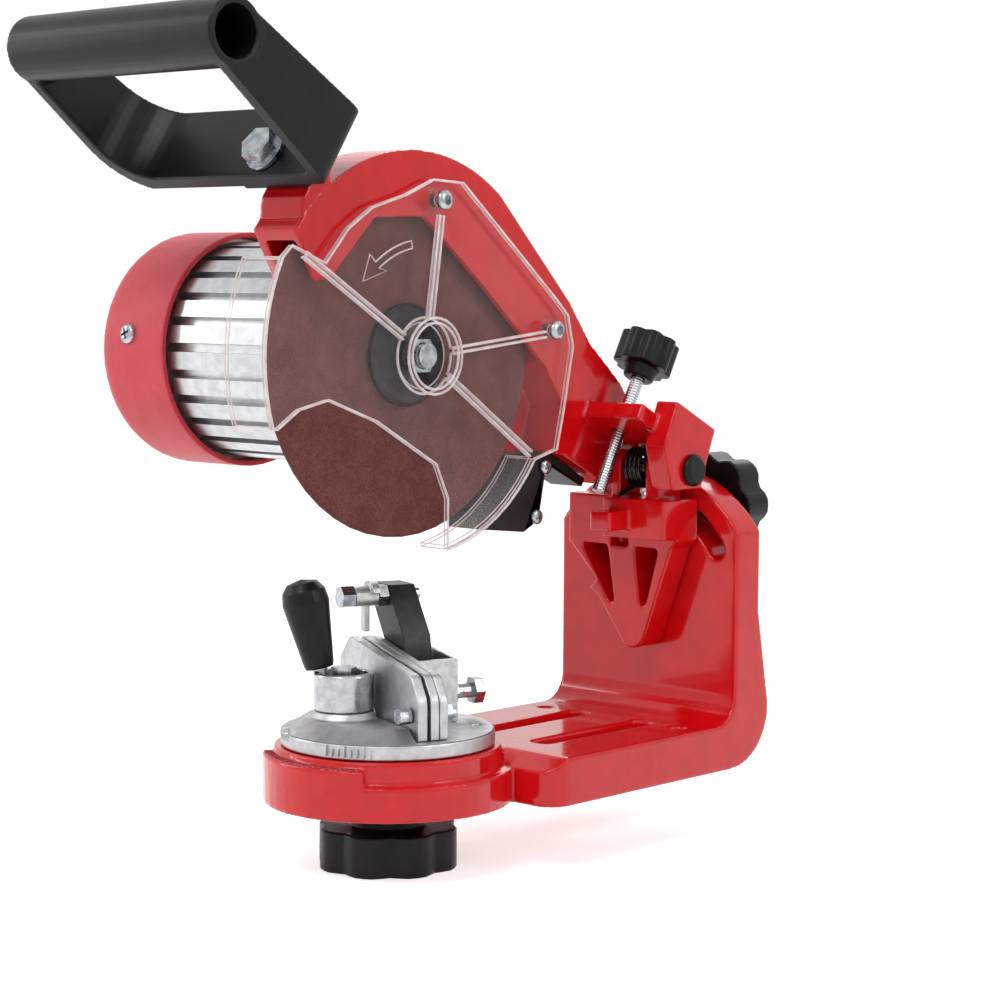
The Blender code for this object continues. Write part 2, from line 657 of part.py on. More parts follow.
pawl = piece("stop_pawl",
             prism(circle(stop_bolt_centre, PAWL_HUB_RADIUS, SMALL_STEPS), "Y", pawl_front, pawl_back),
             ZINC_STEEL, PAWL)
finger = block(
    (STOP_BOLT_X - PAWL_FINGER_HALF, -PAWL_FINGER_THICK, PAWL_TIP_Z),
    (STOP_BOLT_X + PAWL_FINGER_HALF, PAWL_FINGER_THICK, STOP_BOLT_Z))
add(pawl, finger)
horn_low = arc(stop_bolt_centre, PAWL_HORN_RADIUS, math.radians(15), math.radians(165), 10)
horn_high = arc(stop_bolt_centre, PAWL_HUB_RADIUS - PAWL_FINGER_THICK,
                math.radians(165), math.radians(15), 10)
add(pawl, prism(horn_low + horn_high, "Y", pawl_back - PAWL_HORN_WIDE, pawl_back))
cut(pawl, prism(stop_bore, "Y", pawl_front - OVERRUN, pawl_back + OVERRUN))

set_screw_head = BRACKET_BACK + SET_SCREW_REACH
set_screw_centre = (SET_SCREW_X, SET_SCREW_Z)
SET_SCREW = Joint("set_screw_axis", (SET_SCREW_X, BRACKET_BACK, SET_SCREW_Z), VISE)
set_screw = piece("stop_set_screw",
                  prism(circle(set_screw_centre, SET_SCREW_RADIUS, TINY_STEPS),
                        "Y", STOP_BACK + GAP, set_screw_head + SET_SCREW_HEAD_THICK / 2),
                  ZINC_STEEL, SET_SCREW)
add(set_screw, prism(hexagon(set_screw_centre, SET_SCREW_HEAD_FLATS),
                     "Y", set_screw_head, set_screw_head + SET_SCREW_HEAD_THICK))
jam_nut = piece("set_screw_nut",
                prism(hexagon(set_screw_centre, SET_SCREW_HEAD_FLATS),
                      "Y", BRACKET_BACK + GAP, BRACKET_BACK + GAP + STOP_NUT_THICK / 2),
                ZINC_STEEL, VISE)
cut(jam_nut, prism(circle(set_screw_centre, SET_SCREW_RADIUS + GAP, TINY_STEPS),
                   "Y", BRACKET_BACK - OVERRUN, set_screw_head))

# Clamp: a cupped cam drum on its pin, turned by a leaning lever
CUP_BASE = CAM_FOOT_TOP + GAP
CUP_TOP = 0.0515
CUP_WALL = 0.0022
CUP_FLOOR = 0.0470
CUP_EDGE = 0.0007
CAM_HEAD_FLATS = 0.0090
CAM_HEAD_THICK = 0.0062
LEVER_LEAN = math.radians(12)
LEVER_YAW = math.radians(60)
LEVER_REACH = 0.0087
LEVER_SIDE = math.radians(230)
LEVER_RADIUS = 0.0031
LEVER_NECK = 0.0060
LEVER_SINK = 0.0150
GRIP_LENGTH = 0.036
GRIP_FOOT_RADIUS = 0.0056
GRIP_HEAD_RADIUS = 0.0094
GRIP_SHAPE_SHARES = ((0.643, 0.04), (0.88, 0.50), (1.0, 0.74), (0.92, 0.87), (0.66, 0.96))
CLAMP = Joint("clamp_axis", (CAM_X, CAM_Y, CUP_BASE), VISE)
cup_profile = [
    (0, CUP_BASE),
    (CAM_RADIUS, CUP_BASE),
    (CAM_RADIUS, CUP_TOP - CUP_EDGE),
    (CAM_RADIUS - CUP_EDGE, CUP_TOP),
    (CAM_RADIUS - CUP_WALL, CUP_TOP),
    (CAM_RADIUS - CUP_WALL, CUP_FLOOR),
    (0, CUP_FLOOR),
]
cam_drum = piece("cam_drum", turned(cup_profile, "Z", (CAM_X, CAM_Y, 0), ROUND_STEPS), ZINC_STEEL, CLAMP)
cut(cam_drum, prism(circle((CAM_X, CAM_Y), CAM_PIN_RADIUS + GAP, SMALL_STEPS),
                    "Z", CUP_BASE - OVERRUN, CUP_FLOOR + OVERRUN))
lean_x, lean_y = polar((0, 0), -math.sin(LEVER_LEAN), LEVER_YAW)
lever_way = Vector((lean_x, lean_y, math.cos(LEVER_LEAN)))
lever_start = Vector((*polar((CAM_X, CAM_Y), LEVER_REACH, LEVER_SIDE), CUP_FLOOR))
rod = [(0, 0), (LEVER_RADIUS, 0), (LEVER_RADIUS, LEVER_NECK + LEVER_SINK), (0, LEVER_NECK + LEVER_SINK)]
add(cam_drum, aimed(turned(rod, "Z", (0, 0, 0), SMALL_STEPS), lever_start, lever_way))
cam_pin_head = CUP_FLOOR + GAP
cam_pin = piece("cam_pin", prism(circle((CAM_X, CAM_Y), CAM_PIN_RADIUS, SMALL_STEPS),
                                 "Z", TABLE_TOP + GAP, cam_pin_head + CAM_HEAD_THICK / 2), ZINC_STEEL, VISE)
add(cam_pin, prism(hexagon((CAM_X, CAM_Y), CAM_HEAD_FLATS, math.radians(10)),
                   "Z", cam_pin_head, cam_pin_head + CAM_HEAD_THICK))
grip_profile = [
    (0, LEVER_NECK),
    (GRIP_FOOT_RADIUS, LEVER_NECK),
    *[(GRIP_HEAD_RADIUS * across, LEVER_NECK + GRIP_LENGTH * along) for across, along in GRIP_SHAPE_SHARES],
    (0, LEVER_NECK + GRIP_LENGTH),
]
clamp_grip = piece("clamp_grip",
                   aimed(turned(grip_profile, "Z", (0, 0, 0), ROUND_STEPS), lever_start, lever_way),
                   BLACK_PLASTIC, CLAMP)
socket = [
    (0, LEVER_NECK - OVERRUN),
    (LEVER_RADIUS + GAP, LEVER_NECK - OVERRUN),
    (LEVER_RADIUS + GAP, LEVER_NECK + LEVER_SINK + GAP),
    (0, LEVER_NECK + LEVER_SINK + GAP),
]
cut(clamp_grip, aimed(turned(socket, "Z", (0, 0, 0), SMALL_STEPS), lever_start, lever_way))

# Vise lock knob under the seat, with its washer
KNOB_RADIUS = 0.0284
KNOB_DIP = 0.0030
KNOB_LOBES = 8
KNOB_LOW = -0.0270
KNOB_HIGH = -0.0105
KNOB_NECK_RADIUS = 0.0150
WASHER_RADIUS = 0.0140
WASHER_THICK = 0.0018
WASHER_TOP = -GAP
VISE_LOCK = Joint("vise_lock_axis", (0, 0, KNOB_HIGH), VISE)
vise_knob = piece("vise_lock_knob",
                  prism(lobed((0, 0), KNOB_RADIUS, KNOB_DIP, KNOB_LOBES, FINE_STEPS),
                        "Z", KNOB_LOW, KNOB_HIGH),
                  BLACK_PLASTIC, VISE_LOCK)
knob_neck = [
    (0, KNOB_LOW + PLATE_WALL),
    (KNOB_NECK_RADIUS, KNOB_LOW + PLATE_WALL),
    (KNOB_NECK_RADIUS, WASHER_TOP - WASHER_THICK - GAP),
    (0, WASHER_TOP - WASHER_THICK - GAP),
]
add(vise_knob, turned(knob_neck, "Z", (0, 0, 0), ROUND_STEPS))
cut(vise_knob, prism(circle((0, 0), STUD_RADIUS + GAP, SMALL_STEPS), "Z", STUD_LOW - GAP, OVERRUN))
lock_washer = [
    (STUD_RADIUS + GAP, WASHER_TOP - WASHER_THICK),
    (WASHER_RADIUS, WASHER_TOP - WASHER_THICK),
    (WASHER_RADIUS, WASHER_TOP),
    (STUD_RADIUS + GAP, WASHER_TOP),
]
piece("vise_lock_washer", turned(lock_washer, "Z", (0, 0, 0), ROUND_STEPS, closed=True),
      ZINC_STEEL, VISE_LOCK)

# Tilting bracket: a V casting on the upright, with knuckles for the arm's hinge above
BRACKET_DEPTH = 0.0137
BRACKET_LOW_X = 0.0172
BRACKET_TIP_Z = 0.0485
BRACKET_TIP_RADIUS = 0.0075
BRACKET_LEFT_X = -0.0192
BRACKET_RIGHT_X = 0.0420
BRACKET_WAIST_Z = 0.0930
BRACKET_SHOULDER_X = 0.0387
BRACKET_HEAD_Z = 0.1140
NOTCH_X = -0.0032
NOTCH_Z = 0.0770
NOTCH_IN = 0.0038
WINDOW_TOP = 0.0925
WINDOW_LOW = 0.0675
WINDOW_LEFT = (-0.0120, 0.0030, 0.0072, 0.0040)
WINDOW_RIGHT = (0.0182, 0.0315, 0.0246, 0.0212)
RECESS_LEFT = 0.0046
RECESS_RIGHT = 0.0147
RECESS_TOP = 0.0968
RECESS_LOW = 0.0922
SHELF_FRONT = 0.0122
SHELF_LEFT_X = 0.0080
SHELF_LOW = 0.0972
STOP_PAD_LEFT = 0.0118
STOP_PAD_RIGHT = 0.0228
STOP_PAD_FRONT = 0.0220
STOP_PAD_TOP = 0.1090
STOP_PAD_LOW = 0.1010
KNUCKLE_RADIUS = 0.0072
KNUCKLE_LEFT_LOW = 0.0087
KNUCKLE_LEFT_HIGH = 0.0135
KNUCKLE_RIGHT_LOW = 0.0275
KNUCKLE_RIGHT_HIGH = 0.0353
HALF_WEB = 0.0015
PIN_SINK = 0.0090
TILT_BOLT_RADIUS = 0.0030
HINGE_PIN_RADIUS = 0.0040

bracket_back = UPRIGHT_FRONT - GAP
bracket_face = bracket_back - BRACKET_DEPTH
tip = (BRACKET_LOW_X, BRACKET_TIP_Z + BRACKET_TIP_RADIUS)
v_outline = [
    (BRACKET_LEFT_X, BRACKET_HEAD_Z),
    (BRACKET_LEFT_X, BRACKET_WAIST_Z),
    (NOTCH_X, NOTCH_Z),
    (NOTCH_X - NOTCH_IN, NOTCH_Z - NOTCH_IN),
    (NOTCH_X + NOTCH_IN / 3, NOTCH_Z - 2 * NOTCH_IN),
    *arc(tip, BRACKET_TIP_RADIUS, math.radians(205), math.radians(343), 10),
    (BRACKET_SHOULDER_X, BRACKET_WAIST_Z),
    (BRACKET_RIGHT_X, BRACKET_WAIST_Z + BRACKET_RIGHT_X - BRACKET_SHOULDER_X),
    (BRACKET_RIGHT_X, BRACKET_HEAD_Z),
]
tilt_bracket = piece("tilt_bracket", prism(v_outline, "Y", bracket_face, bracket_back), RED_PAINT, TILT)
shelf = block((SHELF_LEFT_X, HINGE_Y - SHELF_FRONT, SHELF_LOW),
              (BRACKET_RIGHT_X, bracket_back, BRACKET_HEAD_Z))
add(tilt_bracket, shelf)
stop_pad = block((STOP_PAD_LEFT, bracket_face - STOP_PAD_FRONT, STOP_PAD_LOW),
                 (STOP_PAD_RIGHT, bracket_face + OVERRUN, STOP_PAD_TOP))
add(tilt_bracket, stop_pad)
for knuckle_low, knuckle_high in ((KNUCKLE_LEFT_LOW, KNUCKLE_LEFT_HIGH),
                                  (KNUCKLE_RIGHT_LOW, KNUCKLE_RIGHT_HIGH)):
    lug = [
        (HINGE_Y - KNUCKLE_RADIUS, BRACKET_HEAD_Z - OVERRUN),
        *arc((HINGE_Y, HINGE_Z), KNUCKLE_RADIUS, math.pi, 0, 14),
        (HINGE_Y + KNUCKLE_RADIUS, BRACKET_HEAD_Z - OVERRUN),
    ]
    add(tilt_bracket, prism(lug, "X", knuckle_low, knuckle_high))
cut(tilt_bracket, prism(circle((HINGE_Y, HINGE_Z), HINGE_PIN_RADIUS + GAP, SMALL_STEPS),
                        "X", BRACKET_LEFT_X - OVERRUN, BRACKET_RIGHT_X + OVERRUN))
for window in (WINDOW_LEFT, WINDOW_RIGHT):
    top_left, top_right, low_right, low_left = window
    corners = [(top_left, WINDOW_TOP), (low_left, WINDOW_LOW), (low_right, WINDOW_LOW),
               (top_right, WINDOW_TOP)]
    cut(tilt_bracket, prism(rounded(corners, HALF_WEB, 3),
                            "Y", bracket_face - OVERRUN, bracket_back + OVERRUN))
cut(tilt_bracket, prism(rectangle(RECESS_LEFT, RECESS_RIGHT, RECESS_LOW, RECESS_TOP),
                        "Y", bracket_face - OVERRUN, bracket_face + BRACKET_DEPTH / 2))
pin_seat = bracket_back - PIN_SINK
cut(tilt_bracket, prism(circle(tilt_centre, TILT_PIN_RADIUS + GAP, SMALL_STEPS),
                        "Y", pin_seat, bracket_back + OVERRUN))
clamp_centre = polar(tilt_centre, TILT_SLOT_RADIUS, math.pi / 2 - TILT_BOLT_ANGLE)
cut(tilt_bracket, prism(circle(clamp_centre, TILT_BOLT_RADIUS + GAP, SMALL_STEPS),
                        "Y", pin_seat, bracket_back + OVERRUN))

# The tilt pin turns with the bracket; its head and washer bear on the back of the upright
pin_profile = [
    (0, pin_seat + GAP),
    (TILT_PIN_RADIUS, pin_seat + GAP),
    (TILT_PIN_RADIUS, upright_rear + GAP),
    (TILT_HEAD_RADIUS, upright_rear + GAP),
    (TILT_HEAD_RADIUS, upright_rear + GAP + TILT_HEAD_THICK),
    (0, upright_rear + GAP + TILT_HEAD_THICK),
]
piece("tilt_pin", along_y(pin_profile, TILT_X, TILT_Z, SMALL_STEPS), ZINC_STEEL, TILT)

# Tilt clamp behind the upright: a stud in the bracket, a washer and a hand knob
TILT_WASHER_RADIUS = 0.0090
TILT_WASHER_THICK = 0.0018
TILT_KNOB_RADIUS = 0.0225
TILT_KNOB_DIP = 0.0032
TILT_KNOB_LOBES = 7
TILT_KNOB_THICK = 0.0140
TILT_KNOB_NECK = 0.0030
TILT_KNOB_NECK_RADIUS = 0.0105
clamp_x, clamp_z = clamp_centre
TILT_LOCK = Joint("tilt_lock_axis", (clamp_x, upright_rear, clamp_z), TILT)
washer_front = upright_rear + GAP
washer_back = washer_front + TILT_WASHER_THICK
knob_neck_front = washer_back + GAP
knob_front = knob_neck_front + TILT_KNOB_NECK
knob_back = knob_front + TILT_KNOB_THICK
stud_back = knob_back - TILT_KNOB_NECK
piece("tilt_stud", prism(circle(clamp_centre, TILT_BOLT_RADIUS, SMALL_STEPS), "Y", pin_seat + GAP, stud_back),
      ZINC_STEEL, TILT)
washer = piece("tilt_washer", prism(circle(clamp_centre, TILT_WASHER_RADIUS, ROUND_STEPS),
                                    "Y", washer_front, washer_back), ZINC_STEEL, TILT)
cut(washer, prism(circle(clamp_centre, TILT_BOLT_RADIUS + GAP, SMALL_STEPS),
                  "Y", washer_front - OVERRUN, washer_back + OVERRUN))
tilt_knob = piece("tilt_lock_knob",
                  prism(lobed(clamp_centre, TILT_KNOB_RADIUS, TILT_KNOB_DIP, TILT_KNOB_LOBES, FINE_STEPS),
                        "Y", knob_front, knob_back), BLACK_PLASTIC, TILT_LOCK)
add(tilt_knob, prism(circle(clamp_centre, TILT_KNOB_NECK_RADIUS, ROUND_STEPS),
                     "Y", knob_neck_front, knob_front + OVERRUN))
cut(tilt_knob, prism(circle(clamp_centre, TILT_BOLT_RADIUS + GAP, SMALL_STEPS),
                     "Y", knob_neck_front - OVERRUN, stud_back + GAP))

# Red arm: a hood round the wheel, a neck to the hinge, and a bridge to the right-hand leg
HOOD_RADIUS = 0.0805
HOOD_START = math.radians(52)
HOOD_END = math.radians(143)
HOOD_BACK = -0.0160
HOOD_PLATE_FRONT = -0.0110
HOOD_FLANGE_BACK = 0.0050
HOOD_FRONT = 0.0084
WHEEL_ROOM = 0.0035
MOUNT_RADIUS = 0.0500
MOUNT_START = math.radians(160)
MOUNT_END = math.radians(301)
HINGE_LUG_RADIUS = 0.0086
NECK_CREST_SHARES = ((1.562, -0.180), (1.735, -0.410), (1.704, -0.571))
NECK_CHIN_SHARES = ((1.466, -0.720), (1.100, -0.537), (0.733, -0.537))
NECK_TOP_SHARES = ((1.149, 0.248), (1.311, 0.037))
NECK_UNIT_SHARE = 0.589795
WINDOW_SHARES = ((-0.571, 0.380), (-0.281, 0.668), (0.062, 0.676), (0.460, 0.360), (0.957, -0.075),
                 (1.100, -0.286), (1.043, -0.472))
wheel_centre = (WHEEL_Y, WHEEL_Z)


def around_wheel(shares):
    """Side-view points given as shares of the hood's radius from the wheel's axis."""
    return [(WHEEL_Y + HOOD_RADIUS * across, WHEEL_Z + HOOD_RADIUS * up) for across, up in shares]


hinge_centre = (HINGE_Y, HINGE_Z)
neck_unit = NECK_UNIT_SHARE * math.dist(wheel_centre, hinge_centre)


def along_neck(shares):
    """Side-view points of the neck and switch box, as shares of the neck's unit from the wheel's axis."""
    return [(WHEEL_Y + neck_unit * across, WHEEL_Z + neck_unit * up) for across, up in shares]


arm_outline = (
    arc(wheel_centre, HOOD_RADIUS, HOOD_END, HOOD_START, 20)
    + along_neck(NECK_TOP_SHARES + NECK_CREST_SHARES)
    + arc(hinge_centre, HINGE_LUG_RADIUS, math.radians(20), math.radians(-125), 10)
    + along_neck(NECK_CHIN_SHARES)
    + arc(wheel_centre, MOUNT_RADIUS, MOUNT_END, MOUNT_START, 14)
)
arm_casting = piece("arm_casting", prism(arm_outline, "X", HOOD_BACK, HOOD_FRONT), RED_PAINT, ARM)
cut(arm_casting, prism(circle(wheel_centre, WHEEL_RADIUS + WHEEL_ROOM, ROUND_STEPS),
                       "X", HOOD_PLATE_FRONT, HOOD_FLANGE_BACK))
window_points = around_wheel(WINDOW_SHARES)
window_low = WHEEL_Z - HOOD_RADIUS
window_left = WHEEL_Y - HOOD_RADIUS - HINGE_LUG_RADIUS
window_outline = window_points + [
    (window_points[-1][0], window_low),
    (window_left, window_low),
    (window_left, window_points[0][1] - HINGE_LUG_RADIUS),
]
cut(arm_casting, prism(window_outline, "X", HOOD_PLATE_FRONT, HOOD_FRONT + OVERRUN))

# Right-hand leg, bridge and the depth screw's bar
LEG_RIGHT = 0.0470
LEG_TOP_FRONT = (0.1240, 0.1565)
LEG_TOP_REAR = (0.1500, 0.1436)
LEG_WAIST_REAR = (0.1450, 0.1315)
LEG_LOW_REAR = (0.1405, 0.1188)
LEG_LOW_FRONT = (0.1215, 0.1190)
LEG_WAIST_FRONT = (0.1160, 0.1382)
BAR_TOP = 0.0147
BAR_THICK = 0.0070
BAR_FRONT = -0.0336
BAR_REAR = -0.0059
WALL_FRONT = -0.0069
WALL_REAR = 0.0057
WALL_RISE = 0.0071
SCREW_X = 0.0173
SCREW_TILT = math.radians(28.2)
SCREW_ALONG = -0.0184
SCREW_RADIUS = 0.0028
leg_low = KNUCKLE_RIGHT_HIGH + GAP
leg_profile = [LEG_TOP_FRONT, LEG_TOP_REAR, LEG_WAIST_REAR, LEG_LOW_REAR, LEG_LOW_FRONT, LEG_WAIST_FRONT]
add(arm_casting, prism(leg_profile, "X", leg_low, LEG_RIGHT))


def on_bar(along, height):
    """A side-view point in the leaning frame of the depth screw, measured from the hinge."""
    return (HINGE_Y + along * math.cos(SCREW_TILT) + height * math.sin(SCREW_TILT),
            HINGE_Z + height * math.cos(SCREW_TILT) - along * math.sin(SCREW_TILT))


bar_profile = [on_bar(BAR_FRONT, BAR_TOP - BAR_THICK), on_bar(BAR_REAR, BAR_TOP - BAR_THICK),
               on_bar(BAR_REAR, BAR_TOP), on_bar(BAR_FRONT, BAR_TOP)]
add(arm_casting, prism(bar_profile, "X", HOOD_FLANGE_BACK, leg_low + OVERRUN))
wall_profile = [on_bar(WALL_FRONT, BAR_TOP - OVERRUN), on_bar(WALL_REAR, BAR_TOP - OVERRUN),
                on_bar(WALL_REAR, BAR_TOP + WALL_RISE), on_bar(WALL_FRONT, BAR_TOP + WALL_RISE)]
add(arm_casting, prism(wall_profile, "X", HOOD_FLANGE_BACK, leg_low + OVERRUN))

# Lug on the hood's left end, which carries the handle
HANDLE_STAND = 0.0081212
HANDLE_SEAT_TURN = math.radians(127.216)
HANDLE_SEAT_ACROSS = -0.0100
HANDLE_PITCH = math.radians(-33.2)
HANDLE_FAR = 0.0663
HANDLE_NEAR = 0.0606
HANDLE_BOLT_X = -0.0110
HANDLE_BOLT_N = -0.0085
HANDLE_FOOT = 0.0040
LUG_LOW = -0.0220
LUG_HIGH = 0.0020
LUG_SINK = 0.0025
LUG_FROM = math.radians(126)
LUG_TO = math.radians(142)
lug_seat = HANDLE_FAR + HANDLE_FOOT + GAP
seat_y, seat_z = polar(wheel_centre, HOOD_RADIUS + HANDLE_STAND, HANDLE_SEAT_TURN)
handle_y = seat_y - lug_seat * math.cos(HANDLE_PITCH) + HANDLE_SEAT_ACROSS * math.sin(HANDLE_PITCH)
handle_z = seat_z - lug_seat * math.sin(HANDLE_PITCH) - HANDLE_SEAT_ACROSS * math.cos(HANDLE_PITCH)


def on_handle(along, across):
    """A side-view point in the leaning frame of the handle."""
    return (handle_y + along * math.cos(HANDLE_PITCH) - across * math.sin(HANDLE_PITCH),
            handle_z + along * math.sin(HANDLE_PITCH) + across * math.cos(HANDLE_PITCH))


lug_outline = [
    on_handle(lug_seat, LUG_LOW),
    on_handle(lug_seat, LUG_HIGH),
    polar(wheel_centre, HOOD_RADIUS - LUG_SINK, LUG_FROM),
    polar(wheel_centre, HOOD_RADIUS - LUG_SINK, LUG_TO),
]
add(arm_casting, prism(lug_outline, "X", HOOD_BACK + GAP, HOOD_FRONT - GAP))

# Hinge pin through the knuckles and both sides of the arm, with a cap outside the leg
HINGE_CAP_RADIUS = 0.0068
HINGE_CAP_THICK = 0.0034
PIN_HEAD_RADIUS = 0.0060
PIN_HEAD_THICK = 0.0030
pin_room = prism(circle(hinge_centre, HINGE_PIN_RADIUS + GAP, SMALL_STEPS),
                 "X", HOOD_BACK - OVERRUN, LEG_RIGHT + OVERRUN)
cut(arm_casting, pin_room)
hinge_pin_profile = [
    (0, HOOD_BACK - GAP - PIN_HEAD_THICK),
    (PIN_HEAD_RADIUS, HOOD_BACK - GAP - PIN_HEAD_THICK),
    (PIN_HEAD_RADIUS, HOOD_BACK - GAP),
    (HINGE_PIN_RADIUS, HOOD_BACK - GAP),
    (HINGE_PIN_RADIUS, LEG_RIGHT - GAP),
    (0, LEG_RIGHT - GAP),
]
piece("hinge_pin", turned(hinge_pin_profile, "X", (0, HINGE_Y, HINGE_Z), SMALL_STEPS), ZINC_STEEL, TILT)
hinge_cap_profile = [
    (0, LEG_RIGHT + GAP),
    (HINGE_CAP_RADIUS, LEG_RIGHT + GAP),
    (HINGE_CAP_RADIUS, LEG_RIGHT + HINGE_CAP_THICK / 2),
    (HINGE_CAP_RADIUS - HINGE_CAP_THICK / 2, LEG_RIGHT + HINGE_CAP_THICK),
    (0, LEG_RIGHT + HINGE_CAP_THICK),
]
piece("hinge_cap", turned(hinge_cap_profile, "X", (0, HINGE_Y, HINGE_Z), ROUND_STEPS), BLACK_PLASTIC, ARM)

# Motor: a finned housing on the back of the hood, and a drawn cap over its end
MOTOR_RADIUS = 0.0450
MOTOR_START = HOOD_BACK - GAP
MOTOR_FLANGE_END = -0.0215
MOTOR_SEAT_START = -0.0960
MOTOR_END = -0.1200
FIN_COUNT = 26
FIN_DEPTH = 0.0034
FIN_GAP_SHARE = 0.34
CAP_RADIUS = 0.0490
CAP_WALL = 0.0022
CAP_MOUTH = -0.0880
CAP_END = -0.1340
CAP_ROUND = 0.0130
CAP_SCREW_COUNT = 3
CAP_SCREW_TURN = math.radians(172)
CAP_SCREW_X = -0.1100
CAP_SCREW_RADIUS = 0.0018
CAP_SCREW_HEAD = 0.0042
CAP_SCREW_HEAD_HIGH = 0.0018
CAP_SCREW_SINK = 0.0060
fin_outline = []
for fin in range(FIN_COUNT):
    fin_start = math.tau * fin / FIN_COUNT
    fin_end = fin_start + math.tau * (1 - FIN_GAP_SHARE) / FIN_COUNT
    fin_next = math.tau * (fin + 1) / FIN_COUNT
    fin_outline += [
        polar(wheel_centre, MOTOR_RADIUS, fin_start),
        polar(wheel_centre, MOTOR_RADIUS, fin_end),
        polar(wheel_centre, MOTOR_RADIUS - FIN_DEPTH, fin_end),
        polar(wheel_centre, MOTOR_RADIUS - FIN_DEPTH, fin_next),
    ]
motor_housing = piece("motor_housing", prism(fin_outline, "X", MOTOR_SEAT_START - OVERRUN, MOTOR_START),
                      ALUMINIUM, ARM)
cap_inner = CAP_RADIUS - CAP_WALL
add(motor_housing, prism(circle(wheel_centre, MOTOR_RADIUS + GAP, ROUND_STEPS),
                         "X", MOTOR_FLANGE_END, MOTOR_START))
add(motor_housing, prism(circle(wheel_centre, cap_inner - GAP, FINE_STEPS), "X", MOTOR_END, MOTOR_SEAT_START))
cap_corner = (CAP_RADIUS - CAP_ROUND, CAP_END + CAP_ROUND)
cap_profile = [
    (cap_inner, CAP_MOUTH),
    (CAP_RADIUS, CAP_MOUTH),
    *[polar(cap_corner, CAP_ROUND, -math.pi / 2 * i / 6) for i in range(7)],
    (0, CAP_END),
    (0, CAP_END + CAP_WALL),
    *[polar(cap_corner, CAP_ROUND - CAP_WALL, -math.pi / 2 * (6 - i) / 6)
      for i in range(7)],
]
motor_cap = piece("motor_cap", turned(cap_profile, "X", (0, WHEEL_Y, WHEEL_Z), FINE_STEPS, closed=True),
                  PINK_RED_PLASTIC, ARM)
for number in range(CAP_SCREW_COUNT):
    angle = CAP_SCREW_TURN + math.tau * number / CAP_SCREW_COUNT
    outward = Vector((0, *polar((0, 0), 1, angle)))
    seat = Vector((CAP_SCREW_X, WHEEL_Y, WHEEL_Z)) + outward * (CAP_RADIUS + GAP)
    screw = [
        (0, -CAP_SCREW_SINK),
        (CAP_SCREW_RADIUS, -CAP_SCREW_SINK),
        (CAP_SCREW_RADIUS, 0),
        (CAP_SCREW_HEAD, 0),
        (CAP_SCREW_HEAD - CAP_SCREW_HEAD_HIGH / 2, CAP_SCREW_HEAD_HIGH),
        (0, CAP_SCREW_HEAD_HIGH),
    ]
    piece("cap_screw_" + str(number + 1), aimed(turned(screw, "Z", (0, 0, 0), TINY_STEPS), seat, outward),
          ZINC_STEEL, ARM)
    screw_room = [
        (0, -CAP_SCREW_SINK - GAP),
        (CAP_SCREW_RADIUS + GAP, -CAP_SCREW_SINK - GAP),
        (CAP_SCREW_RADIUS + GAP, CAP_SCREW_HEAD_HIGH),
        (0, CAP_SCREW_HEAD_HIGH),
    ]
    for drilled in (motor_housing, motor_cap):
        cut(drilled, aimed(turned(screw_room, "Z", (0, 0, 0), TINY_STEPS), seat, outward))

# Black handle: a hollow grip, two side plates and a base strap, moulded in one
GRIP_RADIUS = 0.0127
GRIP_BORE = 0.0098
GRIP_RIGHT = 0.0237
GRIP_LEFT = -0.0938
GRIP_END_WALL = 0.0040
HANDLE_PLATE = 0.0057
HANDLE_LOW = -0.0196
HANDLE_HIGH = 0.0135
HANDLE_MIDDLE = 0.0678
HANDLE_BEND = 0.0250
FOOT_LEFT = -0.0260
FOOT_RIGHT = 0.0100
FOOT_LOW = -0.0180
FOOT_HIGH = 0.0040
HANDLE_TURN = 0.0060
FINGER_COUNT = 4
FINGER_PITCH = 0.0232
FINGER_RADIUS = 0.0150
FINGER_DEPTH = 0.0022
HANDLE_BOLT_RADIUS = 0.0040
HANDLE_BOLT_FLATS = 0.0130
HANDLE_BOLT_HEAD = 0.0056
HANDLE_WASHER_RADIUS = 0.0085
HANDLE_WASHER_THICK = 0.0014
HANDLE_BOLT_SINK = 0.0080
handle_centre = (0, handle_y, handle_z)
frame_outer = rounded(
    [(GRIP_LEFT, handle_y), (GRIP_RIGHT, handle_y),
     (GRIP_RIGHT, handle_y + HANDLE_MIDDLE), (GRIP_LEFT, handle_y + HANDLE_MIDDLE)],
    [0, 0, HANDLE_TURN, HANDLE_BEND], 8)
frame_inner = rounded(
    [(GRIP_LEFT + HANDLE_PLATE, handle_y - OVERRUN), (GRIP_RIGHT - HANDLE_PLATE, handle_y - OVERRUN),
     (GRIP_RIGHT - HANDLE_PLATE, handle_y + HANDLE_NEAR), (GRIP_LEFT + HANDLE_PLATE, handle_y + HANDLE_NEAR)],
    [0, 0, HANDLE_TURN / 2, HANDLE_BEND - HANDLE_PLATE], 8)
handle = piece("handle", swung(prism(frame_outer, "Z", handle_z + HANDLE_LOW, handle_z + HANDLE_HIGH),
                               handle_centre, HANDLE_PITCH), BLACK_PLASTIC, ARM)
cut(handle, swung(prism(frame_inner, "Z", handle_z + HANDLE_LOW - OVERRUN, handle_z + HANDLE_HIGH + OVERRUN),
                  handle_centre, HANDLE_PITCH))
side_view = [
    (handle_y - OVERRUN, handle_z - GRIP_RADIUS + OVERRUN / 3),
    (handle_y + HANDLE_FAR, handle_z + HANDLE_LOW),
    (handle_y + HANDLE_FAR, handle_z + HANDLE_HIGH - GAP),
    (handle_y - OVERRUN, handle_z + GRIP_RADIUS - OVERRUN / 3),
]
keep(handle, swung(prism(side_view, "X", GRIP_LEFT - OVERRUN, GRIP_RIGHT + OVERRUN),
                   handle_centre, HANDLE_PITCH))
grip_circle = circle((handle_y, handle_z), GRIP_RADIUS, ROUND_STEPS)
